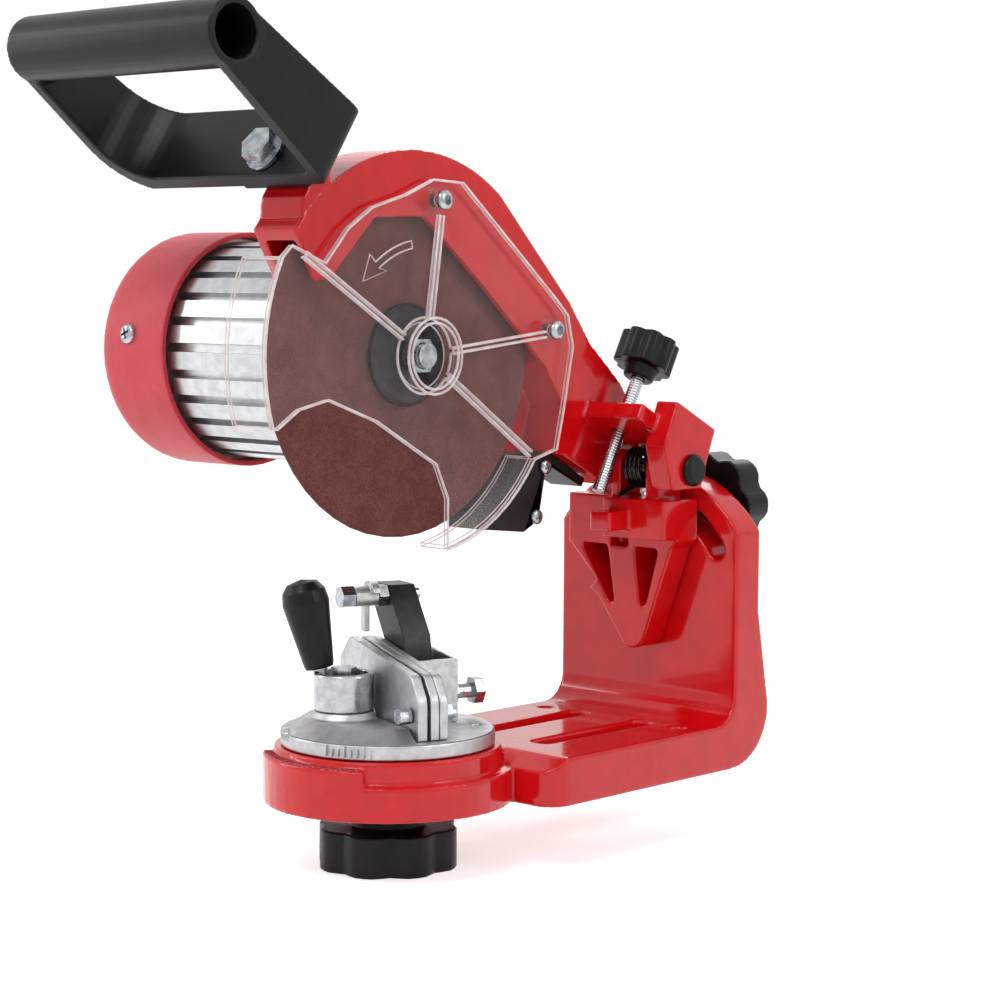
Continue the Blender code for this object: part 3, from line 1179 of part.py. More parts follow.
add(handle, swung(prism(grip_circle, "X", GRIP_LEFT - GAP, GRIP_RIGHT + GAP), handle_centre, HANDLE_PITCH))
cut(handle, swung(prism(circle((handle_y, handle_z), GRIP_BORE, ROUND_STEPS),
                        "X", GRIP_LEFT + GRIP_END_WALL, GRIP_RIGHT + OVERRUN), handle_centre, HANDLE_PITCH))
grip_middle = (GRIP_LEFT + GRIP_RIGHT) / 2
for finger in range(FINGER_COUNT):
    finger_x = grip_middle + FINGER_PITCH * (finger - (FINGER_COUNT - 1) / 2)
    finger_y = handle_y + GRIP_RADIUS + FINGER_RADIUS - FINGER_DEPTH
    hollow = circle((finger_x, finger_y), FINGER_RADIUS, ROUND_STEPS)
    cut(handle, swung(prism(hollow, "Z", handle_z - GRIP_RADIUS - OVERRUN, handle_z + GRIP_RADIUS + OVERRUN),
                      handle_centre, HANDLE_PITCH))
foot_plan = rectangle(FOOT_LEFT, FOOT_RIGHT,
                      handle_y + HANDLE_FAR - OVERRUN, handle_y + HANDLE_FAR + HANDLE_FOOT)
add(handle, swung(prism(foot_plan, "Z", handle_z + FOOT_LOW, handle_z + FOOT_HIGH),
                  handle_centre, HANDLE_PITCH))
bolt_at = (HANDLE_BOLT_X, handle_z + HANDLE_BOLT_N)
washer_face = handle_y + HANDLE_NEAR - GAP
head_face = washer_face - HANDLE_WASHER_THICK
handle_bolt = piece("handle_bolt",
                    swung(prism(hexagon(bolt_at, HANDLE_BOLT_FLATS),
                                "Y", head_face - HANDLE_BOLT_HEAD, head_face),
                          handle_centre, HANDLE_PITCH), ZINC_STEEL, ARM)
add(handle_bolt, swung(prism(circle(bolt_at, HANDLE_WASHER_RADIUS, SMALL_STEPS),
                             "Y", head_face - GAP, washer_face), handle_centre, HANDLE_PITCH))
bolt_end = handle_y + lug_seat + HANDLE_BOLT_SINK
add(handle_bolt, swung(prism(circle(bolt_at, HANDLE_BOLT_RADIUS, SMALL_STEPS), "Y", head_face, bolt_end),
                       handle_centre, HANDLE_PITCH))
for drilled in (handle, arm_casting):
    cut(drilled, swung(prism(circle(bolt_at, HANDLE_BOLT_RADIUS + GAP, SMALL_STEPS),
                             "Y", head_face, bolt_end + GAP), handle_centre, HANDLE_PITCH))

# Grinding wheel on the motor's spindle, held between two flanges by a nut
SPINDLE_RADIUS = 0.0050
SPINDLE_COLLAR_RADIUS = 0.0095
SPINDLE_END = 0.0150
INNER_FLANGE_RADIUS = 0.0200
INNER_FLANGE_BACK = -0.0086
OUTER_FLANGE_RADIUS = 0.0205
OUTER_FLANGE_HEAD = 0.0110
OUTER_FLANGE_THICK = 0.0046
OUTER_FLANGE_RIM = 0.0018
OUTER_FLANGE_EDGE_SHARE = 0.75
SPINDLE_NUT_FLATS = 0.0130
SPINDLE_NUT_THICK = 0.0056
SPINDLE_BORE = 0.0090
half_wheel = WHEEL_THICK / 2
spindle_back = HOOD_BACK + GAP
spindle_profile = [
    (0, spindle_back),
    (SPINDLE_COLLAR_RADIUS, spindle_back),
    (SPINDLE_COLLAR_RADIUS, INNER_FLANGE_BACK - GAP),
    (SPINDLE_RADIUS, INNER_FLANGE_BACK - GAP),
    (SPINDLE_RADIUS, SPINDLE_END),
    (0, SPINDLE_END),
]
rotor_centre = (0, WHEEL_Y, WHEEL_Z)
cut(arm_casting, prism(circle(wheel_centre, SPINDLE_COLLAR_RADIUS + 2 * GAP, ROUND_STEPS),
                       "X", HOOD_BACK - OVERRUN, HOOD_PLATE_FRONT + OVERRUN))
piece("spindle", turned(spindle_profile, "X", rotor_centre, ROUND_STEPS), ZINC_STEEL, ROTOR)
inner_flange = [
    (SPINDLE_RADIUS + GAP, INNER_FLANGE_BACK),
    (OUTER_FLANGE_HEAD, INNER_FLANGE_BACK),
    (INNER_FLANGE_RADIUS, -half_wheel - GAP - OUTER_FLANGE_THICK / 2),
    (INNER_FLANGE_RADIUS, -half_wheel - GAP),
    (WHEEL_BORE_RADIUS - GAP, -half_wheel - GAP),
    (WHEEL_BORE_RADIUS - GAP, half_wheel - GAP),
    (SPINDLE_RADIUS + GAP, half_wheel - GAP),
]
piece("inner_flange", turned(inner_flange, "X", rotor_centre, ROUND_STEPS, closed=True), BLACK_STEEL, ROTOR)
WHEEL_CROWN = 0.0009
wheel_profile = [
    (WHEEL_BORE_RADIUS, -half_wheel),
    (WHEEL_RADIUS - WHEEL_CROWN, -half_wheel),
    (WHEEL_RADIUS, -half_wheel + WHEEL_CROWN),
    (WHEEL_RADIUS, half_wheel - WHEEL_CROWN),
    (WHEEL_RADIUS - WHEEL_CROWN, half_wheel),
    (WHEEL_BORE_RADIUS, half_wheel),
]
piece("grinding_wheel", turned(wheel_profile, "X", rotor_centre, FINE_STEPS, closed=True),
      BROWN_ABRASIVE, ROTOR)
flange_face = half_wheel + GAP
outer_flange = [
    (SPINDLE_RADIUS + GAP, flange_face),
    (OUTER_FLANGE_RADIUS, flange_face),
    (OUTER_FLANGE_RADIUS, flange_face + OUTER_FLANGE_RIM),
    (OUTER_FLANGE_RADIUS - OUTER_FLANGE_RIM, flange_face + OUTER_FLANGE_THICK * OUTER_FLANGE_EDGE_SHARE),
    (OUTER_FLANGE_HEAD, flange_face + OUTER_FLANGE_THICK),
    (SPINDLE_RADIUS + GAP, flange_face + OUTER_FLANGE_THICK),
]
piece("outer_flange", turned(outer_flange, "X", rotor_centre, ROUND_STEPS, closed=True), BLACK_STEEL, ROTOR)
nut_start = flange_face + OUTER_FLANGE_THICK + GAP
spindle_nut = piece("spindle_nut", prism(hexagon(wheel_centre, SPINDLE_NUT_FLATS),
                                         "X", nut_start, nut_start + SPINDLE_NUT_THICK), ZINC_STEEL, ROTOR)
cut(spindle_nut, prism(circle(wheel_centre, SPINDLE_RADIUS + GAP, SMALL_STEPS),
                       "X", nut_start - OVERRUN, SPINDLE_END + OVERRUN))

# Depth screw with its hand knob, and the knurled disc that locks it
DISC_RADIUS = 0.0086
DISC_THICK = 0.0030
DISC_TEETH = 24
DISC_TOOTH = 0.0005
SCREW_DROP = 0.0353
SCREW_KNOB_RISE = 0.0233
SCREW_KNOB_THICK = 0.0140
SCREW_KNOB_RADIUS = 0.0128
SCREW_KNOB_DIP = 0.0018
SCREW_KNOB_LOBES = 8
SCREW_KNOB_NECK = 0.0050
SCREW_KNOB_NECK_RADIUS = 0.0080
SCREW_KNOB_FOOT_SHARE = 0.8
SCREW_HEAD_SINK = 0.0100
screw_tip = Vector((SCREW_X, *on_bar(SCREW_ALONG, BAR_TOP - SCREW_DROP)))
screw_way = Vector((0, math.sin(SCREW_TILT), math.cos(SCREW_TILT)))
DEPTH_SCREW = Joint("depth_screw_slide", screw_tip, ARM)
knob_foot = screw_tip + screw_way * (SCREW_DROP + SCREW_KNOB_RISE - SCREW_KNOB_NECK)
DEPTH_KNOB = Joint("depth_knob_axis", knob_foot, DEPTH_SCREW)
rod_length = SCREW_DROP + SCREW_KNOB_RISE + SCREW_HEAD_SINK
rod_profile = [
    (0, 0),
    (SCREW_RADIUS - GAP, 0),
    (SCREW_RADIUS, GAP),
    (SCREW_RADIUS, rod_length),
    (0, rod_length),
]
piece("depth_screw", aimed(turned(rod_profile, "Z", (0, 0, 0), SMALL_STEPS), screw_tip, screw_way),
      ZINC_STEEL, DEPTH_SCREW)
knob_disc = prism(lobed((0, 0), SCREW_KNOB_RADIUS, SCREW_KNOB_DIP, SCREW_KNOB_LOBES, FINE_STEPS),
                  "Z", SCREW_KNOB_NECK, SCREW_KNOB_NECK + SCREW_KNOB_THICK)
depth_knob = piece("depth_knob", aimed(knob_disc, knob_foot, screw_way), BLACK_PLASTIC, DEPTH_KNOB)
neck = [
    (0, 0),
    (SCREW_KNOB_NECK_RADIUS * SCREW_KNOB_FOOT_SHARE, 0),
    (SCREW_KNOB_NECK_RADIUS, SCREW_KNOB_NECK + GAP),
    (0, SCREW_KNOB_NECK + GAP),
]
add(depth_knob, aimed(turned(neck, "Z", (0, 0, 0), ROUND_STEPS), knob_foot, screw_way))
rod_room = prism(circle((0, 0), SCREW_RADIUS + GAP, SMALL_STEPS),
                 "Z", -OVERRUN, SCREW_KNOB_NECK + SCREW_HEAD_SINK + GAP)
cut(depth_knob, aimed(rod_room, knob_foot, screw_way))
disc_low = BAR_TOP + GAP
disc_foot = Vector((SCREW_X, *on_bar(SCREW_ALONG, disc_low)))
toothed = []
for tooth in range(DISC_TEETH):
    toothed.append(polar((0, 0), DISC_RADIUS, math.tau * tooth / DISC_TEETH))
    toothed.append(polar((0, 0), DISC_RADIUS - DISC_TOOTH, math.tau * (tooth + 0.5) / DISC_TEETH))
DISC = Joint("lock_disc_axis", disc_foot, ARM)
lock_disc = piece("depth_lock_disc", aimed(prism(toothed, "Z", 0, DISC_THICK), disc_foot, screw_way),
                  BLACK_STEEL, DISC)
bore_from = on_bar(SCREW_ALONG, BAR_TOP - BAR_THICK - OVERRUN)
for drilled in (lock_disc, arm_casting):
    bore = prism(circle((0, 0), SCREW_RADIUS + GAP, SMALL_STEPS),
                 "Z", 0, BAR_THICK + DISC_THICK + 2 * OVERRUN)
    cut(drilled, aimed(bore, (SCREW_X, *bore_from), screw_way))

# Clear guard in front of the wheel: a ribbed plate, a hub ring and two rim bands, on two screws
GUARD_RADIUS = 0.0840
GUARD_BACK = 0.0110
GUARD_THICK = 0.0018
GUARD_BAND_THICK = 0.0018
GUARD_BAND_BACK = -0.0100
GUARD_LOW_BAND_BACK = -0.0020
GUARD_LEFT_START = math.radians(153)
GUARD_LEFT_END = math.radians(198)
GUARD_LOW_RADIUS = 0.0790
GUARD_LOW_START = math.radians(-80)
GUARD_LOW_END = math.radians(-34)
GUARD_TOP_SHARES = ((0.944, -0.483), (0.993, -0.290), (1.060, 0.025), (1.020, 0.180), (0.930, 0.262),
                    (0.260, 0.810), (0.060, 0.820), (-0.118, 0.746), (-0.339, 0.683), (-0.494, 0.583),
                    (-0.633, 0.427), (-0.836, 0.504))
GUARD_EDGE_SHARES = ((-0.926, -0.308), (-0.796, -0.226), (-0.615, -0.188), (-0.306, -0.298),
                     (0.083, -0.513), (0.164, -0.681))
GUARD_HUB_RADIUS = 0.0150
GUARD_HUB_BORE = 0.0130
GUARD_HUB_FRONT = 0.0190
GUARD_RIB_HALF = 0.0011
GUARD_RIB_RISE = 0.0016
GUARD_SCREW_SHARES = ((0.11310, 0.72619), (0.91667, 0.10714))
GUARD_SCREW_RADIUS = 0.0020
GUARD_SCREW_HEAD = 0.0040
GUARD_SCREW_HEAD_HIGH = 0.0032
GUARD_SCREW_SINK = 0.0030
GUARD_SPACER_RADIUS = 0.0050
RIB_ENDS = (math.radians(149), math.radians(81.5), math.radians(6), math.radians(-34))
RIB_REACH_SHARES = (0.90, 0.66, 0.84, 0.88)


def around_guard(shares):
    """Side-view points given as shares of the guard's radius from the wheel's axis."""
    return [(WHEEL_Y + GUARD_RADIUS * across, WHEEL_Z + GUARD_RADIUS * up) for across, up in shares]


guard_front = GUARD_BACK + GUARD_THICK
guard_outline = (
    arc(wheel_centre, GUARD_LOW_RADIUS, GUARD_LOW_START, GUARD_LOW_END, 8)
    + around_guard(GUARD_TOP_SHARES)
    + arc(wheel_centre, GUARD_RADIUS, GUARD_LEFT_START, GUARD_LEFT_END, 10)
    + around_guard(GUARD_EDGE_SHARES)
)
wheel_guard = piece("wheel_guard", prism(guard_outline, "X", GUARD_BACK, guard_front), CLEAR_PLASTIC, ARM)
for band_radius, band_back, band_start, band_end in (
        (GUARD_RADIUS, GUARD_BAND_BACK, GUARD_LEFT_START, GUARD_LEFT_END),
        (GUARD_LOW_RADIUS, GUARD_LOW_BAND_BACK, GUARD_LOW_START, GUARD_LOW_END)):
    band = (arc(wheel_centre, band_radius - GAP, band_start, band_end, 10)
            + arc(wheel_centre, band_radius - GUARD_BAND_THICK, band_end, band_start, 10))
    add(wheel_guard, prism(band, "X", band_back, GUARD_BACK + GAP))
add(wheel_guard, prism(circle(wheel_centre, GUARD_HUB_RADIUS, ROUND_STEPS),
                       "X", GUARD_BACK + GAP, GUARD_HUB_FRONT))
for rib_angle, reach_share in zip(RIB_ENDS, RIB_REACH_SHARES):
    along = Vector(polar((0, 0), 1, rib_angle))
    aside = Vector((-along.y, along.x)) * GUARD_RIB_HALF
    near = Vector(wheel_centre) + along * GUARD_HUB_BORE
    far = Vector(wheel_centre) + along * GUARD_RADIUS * reach_share
    rib = [tuple(near - aside), tuple(far - aside), tuple(far + aside), tuple(near + aside)]
    add(wheel_guard, prism(rib, "X", GUARD_BACK + GAP, guard_front + GUARD_RIB_RISE))
cut(wheel_guard, prism(circle(wheel_centre, GUARD_HUB_BORE, ROUND_STEPS),
                       "X", GUARD_BACK - OVERRUN, GUARD_HUB_FRONT + OVERRUN))
for number, guard_screw_at in enumerate(around_guard(GUARD_SCREW_SHARES)):
    mark = ("top", "right")[number]
    screw_room = circle(guard_screw_at, GUARD_SCREW_RADIUS + GAP, TINY_STEPS)
    cut(wheel_guard, prism(screw_room, "X", GUARD_BACK - OVERRUN, guard_front + OVERRUN))
    cut(arm_casting, prism(screw_room, "X", HOOD_FRONT - GUARD_SCREW_SINK - GAP, HOOD_FRONT + OVERRUN))
    spacer = piece("guard_spacer_" + mark, prism(circle(guard_screw_at, GUARD_SPACER_RADIUS, SMALL_STEPS),
                                                 "X", HOOD_FRONT + GAP, GUARD_BACK - GAP), CLEAR_PLASTIC, ARM)
    cut(spacer, prism(screw_room, "X", HOOD_FRONT - OVERRUN, GUARD_BACK + OVERRUN))
    head_low = guard_front + GAP
    guard_screw = [
        (0, HOOD_FRONT - GUARD_SCREW_SINK),
        (GUARD_SCREW_RADIUS, HOOD_FRONT - GUARD_SCREW_SINK),
        (GUARD_SCREW_RADIUS, head_low),
        (GUARD_SCREW_HEAD, head_low),
        (GUARD_SCREW_HEAD, head_low + GUARD_SCREW_HEAD_HIGH),
        (0, head_low + GUARD_SCREW_HEAD_HIGH),
    ]
    piece("guard_screw_" + mark,
          turned(guard_screw, "X", (0, guard_screw_at[0], guard_screw_at[1]), SMALL_STEPS), ZINC_STEEL, ARM)

# Switch box under the hood, with its cover, rocker and cord gland on the far side
BOX_CLEARANCE = 0.0080
BOX_START = math.radians(-57)
BOX_END = math.radians(-33)
BOX_RIGHT = 0.0020
BOX_HEEL_SHARES = ((1.367, -0.684), (1.345, -0.728), (1.060, -0.592), (1.001, -0.882), (0.887, -0.939),
                   (0.540, -0.901))
COVER_THICK = 0.0024
COVER_SHARES = ((0.6087, -0.86335), (0.88199, -0.90062), (0.96894, -0.85714),
                (1.03727, -0.59627), (0.85714, -0.59627), (0.58385, -0.68944))
ROCKER_SHARES = ((0.8323, -0.73913),)
ROCKER_RADIUS = 0.0075
ROCKER_HALF = 0.0050
ROCKER_DISH = 0.0030
ROCKER_REST = math.radians(10)
GLAND_SHARES = ((0.67081, -0.76398),)
GLAND_RADIUS = 0.0048
GLAND_BORE = 0.0030
GLAND_LENGTH = 0.0090
BOX_SCREW_SHARES = ((1.03727, -0.60497), (0.96894, -0.86335))
BOX_SCREW_RADIUS = 0.0017
BOX_SCREW_HEAD = 0.0032
BOX_SCREW_HEAD_HIGH = 0.0022
BOX_SCREW_SINK = 0.0070
box_top_y, chin_z = along_neck(NECK_CHIN_SHARES)[1]
box_room = WHEEL_RADIUS + BOX_CLEARANCE
box_outline = (arc(wheel_centre, box_room, BOX_START, BOX_END, 6)[:-1]
               + [(WHEEL_Y + box_room * math.cos(BOX_END), chin_z - GAP), (box_top_y - GAP, chin_z - GAP)]
               + along_neck(BOX_HEEL_SHARES))
switch_box = piece("switch_box", prism(box_outline, "X", HOOD_BACK, BOX_RIGHT), BLACK_PLASTIC, ARM)
cover_front = HOOD_BACK - GAP
cover_back = cover_front - COVER_THICK
switch_cover = piece("switch_cover", prism(along_neck(COVER_SHARES), "X", cover_back, cover_front),
                     BLACK_PLASTIC, ARM)
rocker_y, rocker_z = along_neck(ROCKER_SHARES)[0]
ROCKER = Joint("rocker_axis", (cover_front, rocker_y, rocker_z), ARM)
rocker_at = (cover_front, rocker_z)
ROCKER_SPREAD = math.radians(100)
rocker_outline = (arc(rocker_at, ROCKER_RADIUS, ROCKER_REST - ROCKER_SPREAD, ROCKER_REST + ROCKER_SPREAD, 16)
                  + [polar(rocker_at, ROCKER_DISH, math.pi + ROCKER_REST)])
piece("switch_rocker", prism(rocker_outline, "Y", rocker_y - ROCKER_HALF, rocker_y + ROCKER_HALF),
      BLACK_PLASTIC, ROCKER)
for drilled in (switch_box, switch_cover):
    cut(drilled, prism(circle(rocker_at, ROCKER_RADIUS + GAP, FINE_STEPS),
                       "Y", rocker_y - ROCKER_HALF - GAP, rocker_y + ROCKER_HALF + GAP))
for number, box_screw_at in enumerate(along_neck(BOX_SCREW_SHARES)):
    hole = circle(box_screw_at, BOX_SCREW_RADIUS + GAP, TINY_STEPS)
    cut(switch_box, prism(hole, "X", BOX_RIGHT - BOX_SCREW_SINK - GAP, BOX_RIGHT + OVERRUN))
    box_screw = [
        (0, BOX_RIGHT - BOX_SCREW_SINK),
        (BOX_SCREW_RADIUS, BOX_RIGHT - BOX_SCREW_SINK),
        (BOX_SCREW_RADIUS, BOX_RIGHT + GAP),
        (BOX_SCREW_HEAD, BOX_RIGHT + GAP),
        (BOX_SCREW_HEAD - BOX_SCREW_HEAD_HIGH / 4, BOX_RIGHT + GAP + BOX_SCREW_HEAD_HIGH),
        (0, BOX_RIGHT + GAP + BOX_SCREW_HEAD_HIGH),
    ]
    piece("box_screw_" + str(number + 1),
          turned(box_screw, "X", (0, box_screw_at[0], box_screw_at[1]), TINY_STEPS), ZINC_STEEL, ARM)
gland_y, gland_z = along_neck(GLAND_SHARES)[0]
gland_profile = [
    (GLAND_BORE, cover_back + COVER_THICK / 2),
    (GLAND_RADIUS, cover_back + COVER_THICK / 2),
    (GLAND_RADIUS, cover_back - GLAND_LENGTH / 2),
    (GLAND_RADIUS - COVER_THICK / 4, cover_back - GLAND_LENGTH),
    (GLAND_BORE, cover_back - GLAND_LENGTH),
]
gland_room = circle((gland_y, gland_z), GLAND_RADIUS + GAP, SMALL_STEPS)
cut(switch_cover, prism(gland_room, "X", cover_back - OVERRUN, cover_front + OVERRUN))
piece("cord_gland", turned(gland_profile, "X", (0, gland_y, gland_z), SMALL_STEPS, closed=True),
      BLACK_PLASTIC, ARM)

# Return spring: one wire wound round the hinge pin, its legs under the bar and on the bracket
SPRING_WIRE = 0.0018
SPRING_RADIUS = 0.0080
SPRING_START_X = 0.0154
SPRING_PITCH = 0.0024
SPRING_CURLS = 4
SPRING_CURL_POINTS = 10
SPRING_LOW_ANGLE = math.radians(-72)
SPRING_HIGH_ANGLE = math.radians(80.3)
SPRING_LOW_LEG = 0.0136
SPRING_HIGH_LEG = 0.0085
SAMPLE_SHARES = (0, 0.5)
spring_sweep = math.tau * SPRING_CURLS + SPRING_HIGH_ANGLE - SPRING_LOW_ANGLE
spring_steps = round(SPRING_CURL_POINTS * spring_sweep / math.tau)
spring_points = []
for step in range(spring_steps + 1):
    turn = spring_sweep * step / spring_steps
    coil_y, coil_z = polar(hinge_centre, SPRING_RADIUS, SPRING_LOW_ANGLE + turn)
    spring_points.append(Vector((SPRING_START_X + SPRING_PITCH * turn / math.tau, coil_y, coil_z)))
low_way = Vector((0, *polar((0, 0), 1, SPRING_LOW_ANGLE - math.pi / 2)))
high_way = Vector((0, *polar((0, 0), 1, SPRING_HIGH_ANGLE + math.pi / 2)))
spring_points.insert(0, spring_points[0] + low_way * SPRING_LOW_LEG)
spring_points.append(spring_points[-1] + high_way * SPRING_HIGH_LEG)


def least_gap(points, wire, spacing):
    """The least clear distance between stretches of a wire that aren't neighbours."""
    least = math.inf
    for first in range(len(points) - 1):
        for second in range(first + spacing, len(points) - 1):
            for share_one in SAMPLE_SHARES:
                for share_two in SAMPLE_SHARES:
                    here = points[first].lerp(points[first + 1], share_one)
                    there = points[second].lerp(points[second + 1], share_two)
                    least = min(least, (here - there).length - wire)
    return least


print("return spring, least gap to itself in mm:",
      round(1000 * least_gap(spring_points, SPRING_WIRE, SPRING_CURL_POINTS // 2), 2))
wire = bpy.data.curves.new("return_spring", "CURVE")
wire.dimensions = "3D"
wire.bevel_depth = SPRING_WIRE / 2
wire.bevel_resolution = 1
wire.use_fill_caps = True
wire.materials.append(BLACK_STEEL)
line = wire.splines.new("POLY")
line.points.add(len(spring_points) - 1)
for point, place in zip(line.points, spring_points):
    point.co = (*(place - TILT.place), 1)
return_spring = bpy.data.objects.new("return_spring", wire)
bpy.context.collection.objects.link(return_spring)
return_spring.parent = TILT.empty
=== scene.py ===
"""Electric chainsaw sharpener: the dressed model, a photograph-like view of it in a plain studio.

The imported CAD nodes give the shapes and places. Each section below finishes one piece or group, in
the order in which the machine is put together: bench casting, vise, tilting bracket, spring, depth
stop, arm, handle, motor, wheel, guard, switch box. Lengths are in metres, or in mm where a name says
so.
"""

import math

import bmesh
import bpy
from mathutils import Matrix, Vector


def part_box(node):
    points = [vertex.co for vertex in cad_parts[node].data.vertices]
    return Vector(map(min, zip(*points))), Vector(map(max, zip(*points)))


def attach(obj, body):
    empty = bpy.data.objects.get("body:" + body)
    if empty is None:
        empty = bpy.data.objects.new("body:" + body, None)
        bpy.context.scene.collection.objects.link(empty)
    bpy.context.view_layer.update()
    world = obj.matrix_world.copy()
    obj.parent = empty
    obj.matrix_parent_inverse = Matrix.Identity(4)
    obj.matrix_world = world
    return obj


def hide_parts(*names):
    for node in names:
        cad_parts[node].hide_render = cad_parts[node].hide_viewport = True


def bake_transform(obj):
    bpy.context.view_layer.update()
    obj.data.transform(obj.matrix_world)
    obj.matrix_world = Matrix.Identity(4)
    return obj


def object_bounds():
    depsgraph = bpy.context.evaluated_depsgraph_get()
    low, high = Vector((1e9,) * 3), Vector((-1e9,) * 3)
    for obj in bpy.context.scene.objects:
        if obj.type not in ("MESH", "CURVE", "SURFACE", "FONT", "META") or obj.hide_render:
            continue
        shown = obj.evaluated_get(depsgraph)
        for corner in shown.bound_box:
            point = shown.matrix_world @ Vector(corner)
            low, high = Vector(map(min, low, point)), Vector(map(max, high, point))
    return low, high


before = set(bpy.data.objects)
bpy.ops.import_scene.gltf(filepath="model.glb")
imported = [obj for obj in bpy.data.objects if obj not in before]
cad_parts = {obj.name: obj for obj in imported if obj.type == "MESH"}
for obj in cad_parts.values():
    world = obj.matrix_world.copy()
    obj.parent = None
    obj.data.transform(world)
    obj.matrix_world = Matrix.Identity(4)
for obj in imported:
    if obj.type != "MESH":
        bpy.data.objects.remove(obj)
CAD_BOX = [list(corner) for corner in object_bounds()]


# ---------------------------------------------------------------- camera
# The camera stands where the photograph was taken from: a long lens, level with the motor, looking a
# little down at the machine's front right corner. It is opened by 2 % and tilted up by a fifth of a
# degree from the fitted view, so that the whole handle is in the square frame.
CAMERA_PLACE = (0.7086, -0.7059, 0.2092)
CAMERA_RIGHT = (0.7360, 0.6770, 0.0058)
CAMERA_UP = (-0.0644, 0.0616, 0.9960)
CAMERA_BACK = (0.6739, -0.7335, 0.0890)
LENS_MM, SENSOR_MM = 91.1, 36.0
NEAREST, FARTHEST = 0.02, 20.0


def stand(name, data):
    """A new object, put into the scene."""
    thing = bpy.data.objects.new(name, data)
    bpy.context.scene.collection.objects.link(thing)
    return thing


lens = bpy.data.cameras.new("photo_lens")
lens.lens, lens.sensor_width = LENS_MM, SENSOR_MM
lens.clip_start, lens.clip_end = NEAREST, FARTHEST
camera = stand("photo_camera", lens)
turn = Matrix((CAMERA_RIGHT, CAMERA_UP, CAMERA_BACK)).transposed()
camera.matrix_world = Matrix.Translation(CAMERA_PLACE) @ turn.to_4x4()
bpy.context.scene.camera = camera
bpy.context.scene.view_settings.view_transform = "Standard"


# ---------------------------------------------------------------- studio
# A white paper floor in a white room, under four soft boxes: a broad key over the vise, a tall strip
# on the motor's side, a fill on the guard's side and a rim light behind. The lamps are weak, so that
# every piece keeps the colour it is written in.
FLOOR_COLOUR = "#FBFBFB"
FLOOR_HALF = 4.0
FLOOR_DROP = CAD_BOX[0][2]                  # the knob under the seat is the lowest piece
FLOOR_LIFT = 0.64                           # makes the far paper as white as the room behind it
WORLD_LIGHT = 0.42                          # what lights the pieces: where it is seen, it is 1
LOOK_AT = Vector((-0.02, 0.04, 0.14))
SOFT_BOXES = [                              # name, place, width, height, watts
    ("key_box", (0.15, -0.75, 1.15), 0.7, 0.4, 7.0),
    ("motor_strip", (-1.15, -0.65, 0.55), 0.2, 0.9, 4.0),
    ("guard_fill", (1.10, 0.35, 0.75), 0.35, 0.6, 3.5),
    ("back_rim", (-0.60, 1.10, 0.90), 0.8, 0.5, 3.5),
]


def linear(hex_colour):
    """sRGB hex to the linear values a shader takes."""
    channels = [int(hex_colour[i:i + 2], 16) / 255 for i in (1, 3, 5)]
    return (*[c / 12.92 if c <= 0.04045 else ((c + 0.055) / 1.055) ** 2.4 for c in channels], 1.0)


def add(tree, kind, values=None, ramp=None, **settings):
    """Add one node with its settings and links.

    A value for a socket is a plain one, or (node, "socket") for a link. A ramp is the stops of a
    colour ramp, {place: hex colour}.
    """
    made = tree.nodes.new(kind)
    for name, value in settings.items():
        setattr(made, name, value)
    for name, value in (values or {}).items():
        socket = made.inputs[name]
        if isinstance(value, tuple) and isinstance(value[0], bpy.types.Node):
            tree.links.new(value[0].outputs[value[1]], socket)
        else:
            socket.default_value = value
    if ramp:
        for stop, (place, hex_colour) in zip(made.color_ramp.elements, ramp.items()):
            stop.position, stop.color = place, linear(hex_colour)
    return made


def start_material(name):
    """A new material with nothing in it yet, and its node tree."""
    material = bpy.data.materials.new(name)
    material.use_nodes = True
    material.node_tree.nodes.clear()
    return material, material.node_tree


def white_rays(tree):
    """1 for the rays that meet plain white: from the camera, through clear plastic, or off gloss."""
    rays = add(tree, "ShaderNodeLightPath")
    clear = add(tree, "ShaderNodeMath", {0: (rays, "Is Camera Ray"), 1: (rays, "Is Transmission Ray")},
                operation="MAXIMUM")
    return add(tree, "ShaderNodeMath", {0: (clear, "Value"), 1: (rays, "Is Glossy Ray")},
               operation="MAXIMUM")


# Plain white paper: matte, and a little lit from itself where it is seen, so that only shadows show.
white_paper, tree = start_material("white_paper_sweep")
sheet = add(tree, "ShaderNodeBsdfDiffuse", {"Color": linear(FLOOR_COLOUR)})
lift = add(tree, "ShaderNodeMath", {0: (white_rays(tree), "Value"), 1: FLOOR_LIFT}, operation="MULTIPLY")
glow = add(tree, "ShaderNodeEmission", {"Color": linear("#FFFFFF"), "Strength": (lift, "Value")})
both = add(tree, "ShaderNodeAddShader", {0: (sheet, "BSDF"), 1: (glow, "Emission")})
add(tree, "ShaderNodeOutputMaterial", {"Surface": (both, "Shader")})

corners = [(x * FLOOR_HALF, y * FLOOR_HALF, FLOOR_DROP) for x, y in ((-1, -1), (1, -1), (1, 1), (-1, 1))]
floor_mesh = bpy.data.meshes.new("paper_floor")
floor_mesh.from_pydata(corners, [], [(0, 1, 2, 3)])
floor_mesh.materials.append(white_paper)
stand("paper_floor", floor_mesh)

world = bpy.data.worlds.new("studio_white")
bpy.context.scene.world = world
world.use_nodes = True
tree = world.node_tree
tree.nodes.clear()
strength = add(tree, "ShaderNodeMapRange",
               {"Value": (white_rays(tree), "Value"), "To Min": WORLD_LIGHT, "To Max": 1.0})
sky = add(tree, "ShaderNodeBackground", {"Color": linear("#FFFFFF"), "Strength": (strength, "Result")})
add(tree, "ShaderNodeOutputWorld", {"Surface": (sky, "Background")})

